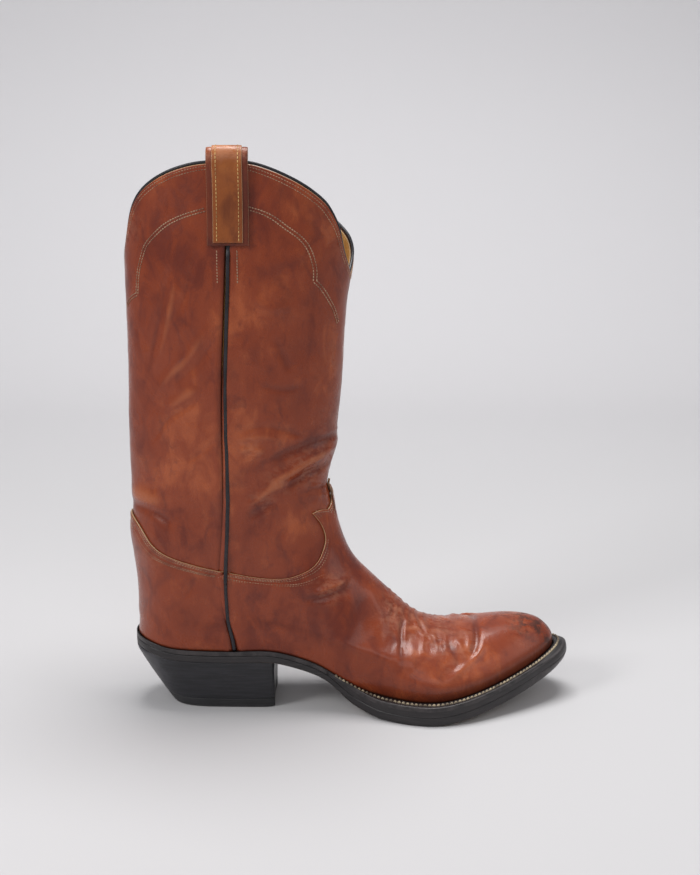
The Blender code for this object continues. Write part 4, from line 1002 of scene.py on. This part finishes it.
def add_piping(mat):
    """Black piping in the side seams, pressed flat where the pull strap crosses it."""
    z = np.concatenate([np.linspace(PIPING_FOOT_Z, STRAP_EDGE_Z, 260),
                        np.linspace(STRAP_EDGE_Z + 0.6, PIPING_TOP_Z, 50)])
    outline = rounded(1, 1, 14, 2.3)
    for side, centre in (("lateral", 0.5), ("medial", 1.5)):
        phi = np.full(len(z), centre)
        u = u_at_height(phi, z)
        p, n = shaped(phi, u), normals(phi, u)
        e = 1e-3
        aside = unit(surface(phi + e, u) - surface(phi - e, u))
        over = 1 - blend((z - SEAM_VAMP_Z + 1) / 6)
        drawn_in = np.where(z < PIPING_STEP_Z, 1, blend((z - PIPING_STEP_Z) / 8))
        base = (VAMP_T + LAP_GAP) * over - inset(p) * drawn_in
        top = (np.maximum(base, 0) + PIPING_RISE) * (1 - blend((z - STRAP_EDGE_Z) / 5)) - 0.15
        low = -OUTER_T - 0.1
        wobble = 0.2 * noise(p, 9, 11)
        wide = PIPING_W + 0.25 * noise(p, 14, 12)
        across = outline[None, :, :1] * wide[:, None, None] + wobble[:, None, None]
        height = (outline[None, :, 1:] + 0.5) * (top - low)[:, None, None] + low
        verts, faces = tube(p[:, None] + aside[:, None] * across + n[:, None] * height)
        add_piece("side_piping_%s_cord" % side, verts, faces, mat, ["side_piping_" + side])


# ------------------------------------------------------------------ stitching

BOLD = {"pitch": 1.9, "length": 1.65, "radius": 0.40}
SMALL = {"pitch": 1.9, "length": 1.5, "radius": 0.26}
FINE = {"pitch": 1.8, "length": 1.4, "radius": 0.24}
EDGE_ROWS, COLLAR_ROWS = (1.5, 3.2), (-0.9, 0.9)
RIM_ROWS, RIM_ROW_DEPTH = (1.5, 3.4), 3.0
SEAM_CLEAR = 2.2               # no stitch row runs closer to the side seam
TAIL_ROWS = (("front", 1.0, -72.5), ("back", 0.0, -85.2))      # below the strap: half, its centre, x


def seam_reach(phi, centre):
    """About how far phi is from the nearer side seam, in millimetres."""
    return np.abs(np.abs(phi - centre) - 0.5) * SCALE[0]


def on_leather(line, outer, centre, side, depth):
    """Points and normals on the displaced leather along a line of the first half of a piece."""
    phi, u = (line / SCALE).T
    if (side == "medial") == (centre == 1.0):
        phi = 2 * centre - phi
    p, n = shaped(phi, u), normals(phi, u)
    high = relief(p) * beside_seam(seam_reach(phi, centre)) * below_rim(depth)
    return p + n * (high - inset(p) + outer)[:, None], n


def stitch_rows(name, line, shifts, outer, centre, mat, size, depth=RIM_HOLD):
    """Stitch rows beside a line, on both sides of the boot; depth is how far below the rim they lie."""
    keep = line[seam_reach(line[:, 0] / SCALE[0], centre) > SEAM_CLEAR]
    for side in ("lateral", "medial"):
        for row, distance in enumerate(shifts):
            path, up = on_leather(shift(keep, distance), outer, centre, side, depth)
            thread("%s_%s_%d" % (name, side, row + 1), path, up, mat, "tan_lining_leather", **size)


def half_line(points, centre):
    """A line given by side points, on the half where that piece's pattern lines are kept."""
    line = side_line(points)
    if centre == 0.0:
        line[:, 0] *= -1
    return line


def add_stitching(mat):
    edge = COVER_LIFT + COVER_EDGE_T
    inner_rows = INNER_STITCH_NEAR, INNER_STITCH_FAR
    collars = ("front", 1.0, COLLAR_FRONT, COLLAR_FRONT_TIP), ("back", 0.0, COLLAR_BACK, COLLAR_BACK_TIP)
    for end, centre, _, _ in collars:
        stitch_rows("rim_stitch_" + end, LINES["rim " + end], RIM_ROWS, -0.05, centre, mat, SMALL,
                    RIM_ROW_DEPTH)
    for end, centre, collar, tip in collars:
        stitch_rows("collar_stitch_" + end, half_line(collar, centre), COLLAR_ROWS, 0.0, centre, mat, BOLD)
        stitch_rows("collar_tip_stitch_" + end, half_line(tip, centre), COLLAR_ROWS, 0.0, centre, mat, BOLD)
    for name, line, rows, outer, centre in (
            ("vamp_edge", "vamp edge", EDGE_ROWS, edge, 1.0), ("notch", "notch top", (1.3,), edge, 1.0),
            ("tongue", "tongue", EDGE_ROWS, edge, 1.0),
            ("vamp_inner", "vamp smooth", inner_rows, edge + 0.33, 1.0),
            ("counter_edge", "counter", EDGE_ROWS, edge, 0.0),
            ("counter_inner", "counter", inner_rows, edge + 0.33, 0.0)):
        stitch_rows(name + "_stitch", LINES[line], rows, outer, centre, mat, FINE)
    for end, centre, x in TAIL_ROWS:
        line = half_line([(x, z) for z in (317, 310, 303, 296)], centre)
        stitch_rows("strap_tail_stitch_" + end, line, (0,), 0.0, centre, mat, BOLD)


# ------------------------------------------------------------------ pull straps

STRAP_ROWS, OVERLAY_ROWS, STITCHED_ROWS = 150, slice(2, 84), slice(3, 82)
STRAP_WEAR_Z, STRAP_STITCH_INSET = 368.0, 2.4
MEDIAL_DROP = float((surface(1.5, U[-1]) - shaped(1.5, U[-1]))[2])


def strap_path(slump):
    """The band's middle from its outer foot over the top to its inner foot, as (out, height)."""
    out, back = GAP + STRAP_T / 2 + 0.1, -(OUTER_T + LINING_T + 2 * GAP + STRAP_T / 2 + 2.3)
    if slump:
        return ((out, STRAP_FOOT_Z), (out, 332), (out + 1, 343), (out + 5, 353), (out + 6.8, 361.5),
                (out + 4.7, 369), (out, 371.5), (back + 1, 370.5), (back - 1, 363), (back, 350), (back, 325))
    return ((out, STRAP_FOOT_Z), (out, 340), (out + 0.5, 355), (out + 1.6, 366), (out + 1.8, 373),
            (out - 0.6, STRAP_TOP_Z - 2.2), (-2.5, STRAP_TOP_Z - STRAP_T / 2),
            (back + 0.2, STRAP_TOP_Z - 2.6), (back - 2.6, 372.5), (back - 2.4, 364), (back - 0.3, 350),
            (back - 0.3, 325))


def strap_curve(slump):
    """The band's middle as (way from the foot's middle plane, height), and its outward normals."""
    path = along(smooth(strap_path(slump)), np.linspace(0, 1, STRAP_ROWS))
    seam = surface(0.5, u_at_height(np.full(STRAP_ROWS, 0.5), np.minimum(path[:, 1], 371)))
    yz = np.stack([np.abs(seam[:, 1]) + path[:, 0], path[:, 1]], 1)
    tangent = unit(np.gradient(yz, axis=0))
    return yz, np.stack([tangent[:, 1], -tangent[:, 0]], 1)


def strap_points(side, across, above):
    """Points of the strap at distances across it and above its centre line."""
    slump = side > 0
    yz, normal = strap_curve(slump)
    half = STRAP_ROWS / 2
    skew = np.clip((np.arange(STRAP_ROWS) - half) / half, 0, 1) * -1.5
    sway = 0.35 * np.sin(np.linspace(0, 5, STRAP_ROWS))
    pts = np.zeros((STRAP_ROWS, len(across), 3))
    pts[..., 0] = STRAP_X + across + (skew + sway)[:, None]
    place = yz[:, None] + normal[:, None] * above[None, :, None]
    pts[..., 1] = side * place[..., 0]
    pts[..., 2] = place[..., 1]
    if slump:
        pts[..., 0] -= 2.0
        pts[..., 2] -= MEDIAL_DROP
    return pts


def add_band(name, cad, points, across, edge, most_raw, mat):
    """Strap layer with raw cut edges, worn pale where it turns over the top."""
    raw = np.clip((np.abs(across) - np.abs(across).max() + edge) / edge, 0, most_raw)
    wear = blend((points[..., 2] - STRAP_WEAR_Z) / 10)
    masks = {"raw": np.broadcast_to(raw, points.shape[:2]), "wear": wear}
    verts, faces = tube(points)
    add_piece(name, verts, faces, mat, [cad], masks=masks)


def add_straps(mats):
    overlay_foot = STRAP_T / 2 + OVERLAY_GAP
    face = np.array([overlay_foot + OVERLAY_T])
    for label, side in (("lateral", -1), ("medial", 1)):
        across, above = rounded(STRAP_W, STRAP_T, 40, 7).T
        rolled = 1 + 0.30 * np.exp(-((np.abs(across) - STRAP_W / 2 + 1.6) / 1.1)**2)
        add_band("pull_strap_band_" + label, "pull_strap_" + label,
                 strap_points(side, across, above * rolled), across, 0.5, 0.62, mats["strap"])
        across, above = rounded(OVERLAY_W, OVERLAY_T, 36, 6).T
        above = above + overlay_foot + OVERLAY_T / 2
        add_band("pull_strap_centre_" + label, "pull_strap_overlay_" + label,
                 strap_points(side, across, above)[OVERLAY_ROWS], across, 0.4, 1, mats["overlay"])
        for row, place in (("back", -1), ("front", 1)):
            across = np.array([place * (OVERLAY_W / 2 - STRAP_STITCH_INSET)])
            path, lower = (strap_points(side, across, level)[STITCHED_ROWS, 0] for level in (face, face - 1))
            thread("strap_stitch_%s_%s" % (label, row), path, unit(path - lower), mats["gold_thread"],
                   "strap_overlay_leather", pitch=2.4, length=1.8, radius=0.26)


# ------------------------------------------------------------------ sole and heel

def sole_width(x):
    """How far the sole's edge stands out from the upper at x."""
    widening = (BALL_OUT - WAIST_OUT) * blend((x + 8) / 34)
    return WAIST_OUT + widening - (BALL_OUT - TOE_OUT) * blend((x - 50) / 50)


def outline_at(phi, out):
    """Plan points beside the feather line, out from it by a function of x."""
    e = 1e-3
    p = surface(phi, 0.0)
    t = surface(phi + e, 0.0) - surface(phi - e, 0.0)
    side = unit(np.stack([t[..., 1], -t[..., 0]], -1))
    reach = np.broadcast_to(out(p[..., 0]), p.shape[:-1])
    return p[..., :2] + side * reach[..., None]


def fore(x):
    """0 at the waist and heel, 1 where the forefoot's sole has its full thickness."""
    return blend((x - WELT_START_X) / (WELT_FULL_X - WELT_START_X))


def feather_z(x):
    return spline(FEATHER, x)


def welt_t(x):
    return WELT_END_T + (WELT_T - WELT_END_T) * fore(x)


def midsole_bottom(x):
    return feather_z(x) - welt_t(x) - SOLE_GAP - (MIDSOLE_END_T + (MIDSOLE_T - MIDSOLE_END_T) * fore(x))


def outsole_top(x):
    return midsole_bottom(x) - SOLE_GAP


def outsole_bottom(x):
    return outsole_top(x) - WAIST_SOLE_T - (OUTSOLE_T - WAIST_SOLE_T) * fore(x)


def round_phi(count, start=0.0):
    """phi from start on the lateral side round the toe to the same place on the medial side."""
    half = even_phi(start, 1.0, (np.arange(count) + 0.5) / count if start == 0 else np.arange(count) / count)
    return np.concatenate([half, 2 - half[::-1]])


def rounded_profile(soften):
    """(in from the edge, share of the thickness, up from the face) from bottom to top."""
    turn = np.linspace(0, np.pi / 2, 4)
    low = [(soften * (1 - np.sin(a)), 0, soften * (1 - np.cos(a))) for a in turn]
    high = [(soften * (1 - np.sin(a)), 1, -soften * (1 - np.cos(a))) for a in turn[::-1]]
    return low + [(0, share, 0) for share in (0.35, 0.65)] + high


def toe_round(x, share):
    """How far the sole's edge stands out at the toe, share running from outsole to welt."""
    return TOE_ROUND * blend((x - TOE_EDGE_X) / TOE_EDGE_RUN) * (1 - (2 * share - 0.95)**2)


def plate(name, phi, out, top, bottom, mat, nodes, soften, under=False, shares=None):
    """Flat-lying layer with rounded edges, its faces filled by strips from side to side.

    out, top and bottom are functions of x. shares says where the layer lies in the rounded toe edge.
    """
    rings = []
    for inward, share, lift in rounded_profile(soften):
        xy = outline_at(phi, lambda x: out(x) - inward)
        low, high = bottom(xy[:, 0]), top(xy[:, 0])
        if shares:
            level = shares[0] + (shares[1] - shares[0]) * share
            xy = outline_at(phi, lambda x: out(x) - inward + toe_round(x, level))
        rings.append(np.column_stack([xy, low + (high - low) * share + lift]))
    verts, faces = tube(rings)
    masks = {}
    if under:
        masks["under"] = np.repeat(np.arange(len(rings)) < 2, len(phi))
        masks["wear"] = 0.9 * blend((verts[:, 0] - 108) / 30)
    return add_piece(name, verts, faces, mat, nodes, masks=masks)


def welt_reach(x, share, more=0.0):
    """Way out from the feather line, share of the way from the welt's inner edge to its outer one."""
    return WELT_INNER + (sole_width(x) + more - WELT_INNER) * share


def edge_ring(name, phi, profile, bottom, top, mat, nodes):
    """Strip round the sole whose section is given as (share outwards, share up, rise)."""
    sections = []
    for outwards, share, rise in profile:
        plain = outline_at(phi, lambda x: welt_reach(x, outwards))
        low, high = bottom(plain[:, 0]), top(plain[:, 0])
        level = 0.74 + 0.26 * share
        xy = outline_at(phi, lambda x: welt_reach(x, outwards, toe_round(x, level)))
        at_toe = blend((plain[:, 0] - TOE_EDGE_X) / TOE_EDGE_RUN)
        droop = TOE_DROOP * at_toe * blend((outwards - 0.45) / 0.55) * share
        sections.append(np.column_stack([xy, low + (high - low) * share + rise - droop]))
    verts, faces = tube(np.stack(sections, 1))
    wear = np.tile([share_out > 0.9 for share_out, _, _ in profile], len(phi)) * 0.6
    return add_piece(name, verts, faces, mat, nodes, masks={"wear": wear})


WELT_INNER = LAP_GAP + VAMP_T - FOOT_INSET + 2 * GAP
WELT_PROFILE = (          # share outwards, share up, rise; the stitches lie in the groove halfway out
    (0, 0, 0), (0.5, 0, 0), (0.99, 0, 0), (1, 0.05, 0), (1, 0.5, 0), (1, 0.85, 0), (0.965, 0.97, 0),
    (0.9, 1, 0.05), (0.78, 1, 0.08), (0.66, 1, -0.05), (0.5, 1, -0.38), (0.36, 1, -0.1), (0.2, 1, 0.1),
    (0.08, 1, -0.15), (0, 0.8, 0), (0, 0.4, 0),
)
RAND_PROFILE = (
    (0, 0, 0), (0.5, 0, 0), (0.9, 0, 0), (1, 0.1, 0), (1, 0.5, 0), (1, 0.9, 0), (0.85, 1, 0),
    (0.5, 1, 0.1), (0, 0.9, 0), (0, 0.5, 0),
)


def layer(out, low, thick):
    """Reach, top and bottom of a layer inside the boot, which lies low above the feather line."""
    return (lambda x: out), (lambda x: feather_z(x) + low + thick), (lambda x: feather_z(x) + low)


def add_sole(mats):
    around = round_phi(210)
    plate("outsole_leather", around, sole_width, outsole_top, outsole_bottom, mats["edge"], ["outsole"], 0.9,
          under=True, shares=(0.0, 0.47))
    start = phi_at_x(WELT_START_X)
    front = round_phi(190, start)
    plate("midsole_leather", front, lambda x: sole_width(x) - 0.05, lambda x: feather_z(x) - welt_t(x) - 0.02,
          lambda x: outsole_top(x) + 0.02, mats["edge"], ["midsole"], 0.1, shares=(0.49, 0.73))
    edge_ring("welt_strip", front, WELT_PROFILE, lambda x: feather_z(x) - welt_t(x), feather_z, mats["edge"],
              ["welt"])
    add_welt_stitches(start, mats["welt_thread"])
    seat = np.linspace(-start - 0.004, start + 0.004, 150)
    edge_ring("heel_rand_strip", seat, RAND_PROFILE, lambda x: outsole_top(x) + 0.1, feather_z, mats["edge"],
              ["heel_rand"])
    inside = -(FOOT_INSET + OUTER_T + LINING_GAP + LINING_T + 2 * GAP)
    plate("insole_board", around, *layer(inside, 2 * GAP, INSOLE_T), mats["insole"], ["insole"], 0.4)
    plate("sock_leather", around, *layer(inside - 0.6, INSOLE_T + 3 * GAP, SOCK_T), mats["lining"],
          ["sock_lining"], 0.3)
    margin = -(LASTING_MARGIN + FOOT_INSET - LAP_GAP + 2 * GAP)
    plate("cork_sheet", round_phi(80), lambda x: margin, lambda x: feather_z(x) - GAP,
          lambda x: feather_z(x) - welt_t(x) + GAP, mats["cork"], ["cork_filler"], 0.2)


def phi_at_x(x):
    """phi on the lateral side at which the feather line reaches x."""
    low, high = 0.0, 1.0
    for _ in range(40):
        mid = (low + high) / 2
        low, high = (mid, high) if surface(mid, 0.0)[0] < x else (low, mid)
    return (low + high) / 2


def add_welt_stitches(start, mat):
    phi = np.linspace(start + 0.012, 2 - start - 0.012, 700)
    xy = outline_at(phi, lambda x: welt_reach(x, 0.5))
    path = np.column_stack([xy, feather_z(xy[:, 0]) - 0.30])
    up = np.tile([0.0, 0.0, 1.0], (len(path), 1))
    thread("welt_stitch", path, up, mat, "black_sole_leather", pitch=3.0, length=2.5, radius=0.85)


HEEL_POINTS, BREAST_POINTS, BREAST_BOW = 70, 24, 0.9
CAP_ROUND, CAP_FOOT_Z = 1.0, 0.12
CAP_LEVELS = ((2.5, 0), (4.0, 0), (5.5, 0), (6.4, 0), (6.85, 0.12), (7.0, 0.5))     # height, inset
SEAT_LEVELS = ((0.15, 0), (0.3, 0), (0.45, 0), (0.6, 0), (0.75, 0), (0.9, 0), (0.97, 0.1), (1.0, 0.35))


def seat_outline():
    """Plan of the heel seat, open at the breast."""
    start = phi_at_x(HEEL_BREAST_X)
    return outline_at(np.linspace(-start, start, HEEL_POINTS), sole_width)


def with_breast(ring):
    """The ring closed by a slightly hollow breast, its corners softened."""
    t = np.linspace(0, 1, BREAST_POINTS + 2)[1:-1, None]
    chord = ring[-1] * (1 - t) + ring[0] * t
    chord[:, 0] -= BREAST_BOW * np.sin(np.pi * t[:, 0])
    ring = np.concatenate([ring, chord])
    for _ in range(2):
        ring = 0.5 * ring + 0.25 * (np.roll(ring, 1, 0) + np.roll(ring, -1, 0))
    return ring


def drawn_in(plan, z):
    """The seat's plan drawn in as the heel tapers down to height z."""
    drop = np.clip(1 - np.broadcast_to(z, len(plan))[:, None] / HEEL_SEAT_Z, 0, 1)
    share = np.clip((HEEL_BREAST_X - plan[:, :1]) / (HEEL_BREAST_X - BACK[0, 0]), 0, 1.1)
    x = plan[:, :1] + HEEL_BACK_TUCK * share * drop * (0.9 + 0.1 * drop)
    return np.column_stack([x, plan[:, 1:] * (1 - (1 - HEEL_SIDE_TUCK) * drop)])


def seat_ring(share):
    """Ring and heights of the seat lift, share of the way up to the outsole's curved underside."""
    ring = with_breast(drawn_in(seat_outline(), HEEL_LIFT_TOP))
    for _ in range(4):
        z = HEEL_LIFT_TOP * (1 - share) + (outsole_bottom(ring[:, 0]) - GAP / 2) * share
        ring = drawn_in(with_breast(seat_outline()), z)
    return ring, z


def heel_block(name, levels, mat, nodes, masks_of):
    """Heel piece through rings given as (plan, height, inset), a little uneven like sanded leather."""
    rings = []
    for ring, z, inward in levels:
        ring = ring - unit(ring - ring.mean(0)) * inward
        rings.append(np.column_stack([ring, np.broadcast_to(z, len(ring))]))
    rings = np.array(rings)
    aside = unit(rings[..., :2] - rings[..., :2].mean(1, keepdims=True))
    rings[..., :2] += noise(rings, 13, 20)[..., None] * aside * 0.12
    verts, faces = tube(rings)
    return add_piece(name, verts, faces, mat, nodes, masks=masks_of(verts[:, 0], verts[:, 2]))


def lift_inset(z, joints):
    """The stack is rounded at its foot and grooved where two lifts meet."""
    if z < 7.2:
        return 0.5
    if z < 7.4:
        return 0.15
    return 0.10 * np.exp(-(np.abs(joints - z).min() / 0.35)**2)


def cap_masks(x, z):
    worn = 0.5 * (z < 2.0) + 0.6 * blend((-115 - x) / 12)
    return {"under": z < 0.3, "wear": np.clip(worn, 0, 1)}


def add_heel(mats):
    turn = np.linspace(0, np.pi / 2, 5)
    flat = lambda z, inward: (with_breast(drawn_in(seat_outline(), z)), z, inward)
    cap = [(CAP_FOOT_Z + CAP_ROUND * (1 - math.cos(a)), CAP_ROUND * (1 - math.sin(a))) for a in turn]
    heel_block("heel_cap_rubber", [flat(*level) for level in (*cap, *CAP_LEVELS)], mats["rubber"],
               ["heel_cap"], cap_masks)
    joints = np.linspace(HEEL_CAP_H, HEEL_LIFT_TOP, HEEL_LIFTS + 1)
    heights = np.concatenate([[7.1, 7.3], np.linspace(7.8, HEEL_LIFT_TOP, 26)])
    lifts = [flat(z, lift_inset(z, joints)) for z in heights]
    seat = [(*seat_ring(share), inward) for share, inward in SEAT_LEVELS]
    nodes = ["heel_lift_%d" % (i + 1) for i in range(HEEL_LIFTS)] + ["heel_seat_lift"]
    heel_block("heel_stack", lifts + seat, mats["heel"], nodes,
               lambda x, z: {"wear": 0.7 * blend((-118 - x) / 14)})
    add_fasteners(mats)


NAILS = (-107, 0), (-98, -15), (-98, 15), (-74, -17), (-74, 17)
PEG_XS = -42, -32, -22


def studs(name, spots, radius, mat, nodes):
    """Round-headed studs, each given as (x, y, lowest z, highest z)."""
    turn = np.linspace(0, 2 * np.pi, 16, endpoint=False)
    verts, faces = [], []
    for x, y, low, high in spots:
        levels = (0.55, low), (0.85, low + 0.06), (1, low + 0.2), (1, high)
        rings = [np.column_stack([x + radius * k * np.cos(turn), y + radius * k * np.sin(turn), 0 * turn + z])
                 for k, z in levels]
        v, f = tube(rings)
        faces.append(f + sum(len(a) for a in verts))
        verts.append(v)
    return add_piece(name, np.concatenate(verts), np.concatenate(faces), mat, nodes)


def add_fasteners(mats):
    studs("heel_nail_heads", [(x, y, 0.02, 5.0) for x, y in NAILS], 1.3, mats["steel"],
          ["heel_nail_%d" % (i + 1) for i in range(len(NAILS))])
    pegs = [(x, side * (13.5 + (x + 42) * 0.05), outsole_bottom(np.float64(x)) - 0.12,
             outsole_top(np.float64(x)) - 0.6) for side in (-1, 1) for x in PEG_XS]
    studs("waist_pegs", pegs, 0.9, mats["wood"], ["sole_peg_%d" % (i + 1) for i in range(len(pegs))])
    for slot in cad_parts["shank"].material_slots:
        slot.material = mats["steel"]


# ------------------------------------------------------------------ stage

def add_backdrop():
    """Seamless pale sweep: a floor that curves up behind the boot into a wall."""
    turn = np.linspace(0, np.pi / 2, 24)
    depth = np.concatenate([[-2.5, 0.9], 1.0 + 0.7 * np.sin(turn), [1.71]])
    height = np.concatenate([[0, 0], 0.7 - 0.7 * np.cos(turn), [3.2]])
    verts = [(x, y, z) for y, z in zip(depth, height) for x in (-3.0, 3.0)]
    faces = [(2 * i, 2 * i + 1, 2 * i + 3, 2 * i + 2) for i in range(len(depth) - 1)]
    mesh = bpy.data.meshes.new("backdrop")
    mesh.from_pydata(verts, [], faces)
    mesh.polygons.foreach_set("use_smooth", np.ones(len(faces), bool))
    mat, tree, shader, place = start_material("paper_sweep", Specular_IOR_Level=0.1)
    soft = speckle(tree, place, 2.0, 2)
    split = node(tree, "SeparateXYZ", {0: place})
    # painted light and shade: the sweep is darker in front and lighter towards the back and up the wall, to
    # set how bright it looks under the lamps
    tone = calc(tree, "ADD", span(tree, split.outputs[1], 0.3, 1.6), times(tree, soft, 0.02), True)
    colour = mix(tree, tone, (0.56, 0.551, 0.557), (0.82, 0.806, 0.819))
    colour = mix(tree, span(tree, split.outputs[2], 0.3, 0.8), colour, (0.72, 0.708, 0.72))
    finish_material(tree, shader, colour, span(tree, soft, 0, 1, 0.85, 0.9), soft, 0.02)
    mesh.materials.append(mat)
    obj = bpy.data.objects.new("backdrop", mesh)
    bpy.context.scene.collection.objects.link(obj)


def add_light(name, place, aim, size, watts):
    data = bpy.data.lights.new(name, "AREA")
    data.shape = "RECTANGLE"
    data.size, data.size_y = size
    data.energy = watts
    obj = bpy.data.objects.new(name, data)
    bpy.context.scene.collection.objects.link(obj)
    obj.location = place
    ahead = np.array(aim, float) - np.array(place, float)
    flat = math.hypot(ahead[0], ahead[1])
    obj.rotation_euler = (math.atan2(flat, -ahead[2]), 0, math.atan2(-ahead[0], ahead[1]))


def add_stage():
    add_backdrop()
    add_light("top_softbox", (0.05, 0.15, 1.55), (0.0, 0.0, 0.1), (0.85, 0.6), 20)
    add_light("left_softbox", (-1.3, -0.9, 1.1), (0.0, 0.0, 0.15), (0.5, 0.6), 13)
    add_light("right_softbox", (1.5, -0.5, 0.9), (0.0, 0.0, 0.2), (0.8, 1.2), 4)
    add_light("front_fill", (0.0, -2.2, 1.5), (0.0, 0.0, 0.15), (1.8, 1.2), 9)
    world = bpy.data.worlds.new("studio_air")
    world.use_nodes = True
    shade = world.node_tree.nodes["Background"]
    shade.inputs["Color"].default_value = (0.95, 0.96, 1.0, 1)
    shade.inputs["Strength"].default_value = 0.30
    bpy.context.scene.world = world
    bpy.context.scene.view_settings.view_transform = "Standard"


def add_camera():
    data = bpy.data.cameras.new("camera")
    data.sensor_width = 36.0
    data.lens = 1353 / 875 * 36.0      # focal length in picture heights, on a 36 mm side
    data.clip_start = 0.05
    obj = bpy.data.objects.new("camera", data)
    bpy.context.scene.collection.objects.link(obj)
    obj.location = (-0.0104, -0.9000, 0.386)
    obj.rotation_euler = (math.radians(77.5), 0, math.radians(-0.6))
    bpy.context.scene.camera = obj


def main():
    add_camera()
    mats = materials()
    add_sole(mats)
    add_heel(mats)
    add_upper(mats)
    add_straps(mats)
    add_stage()


main()
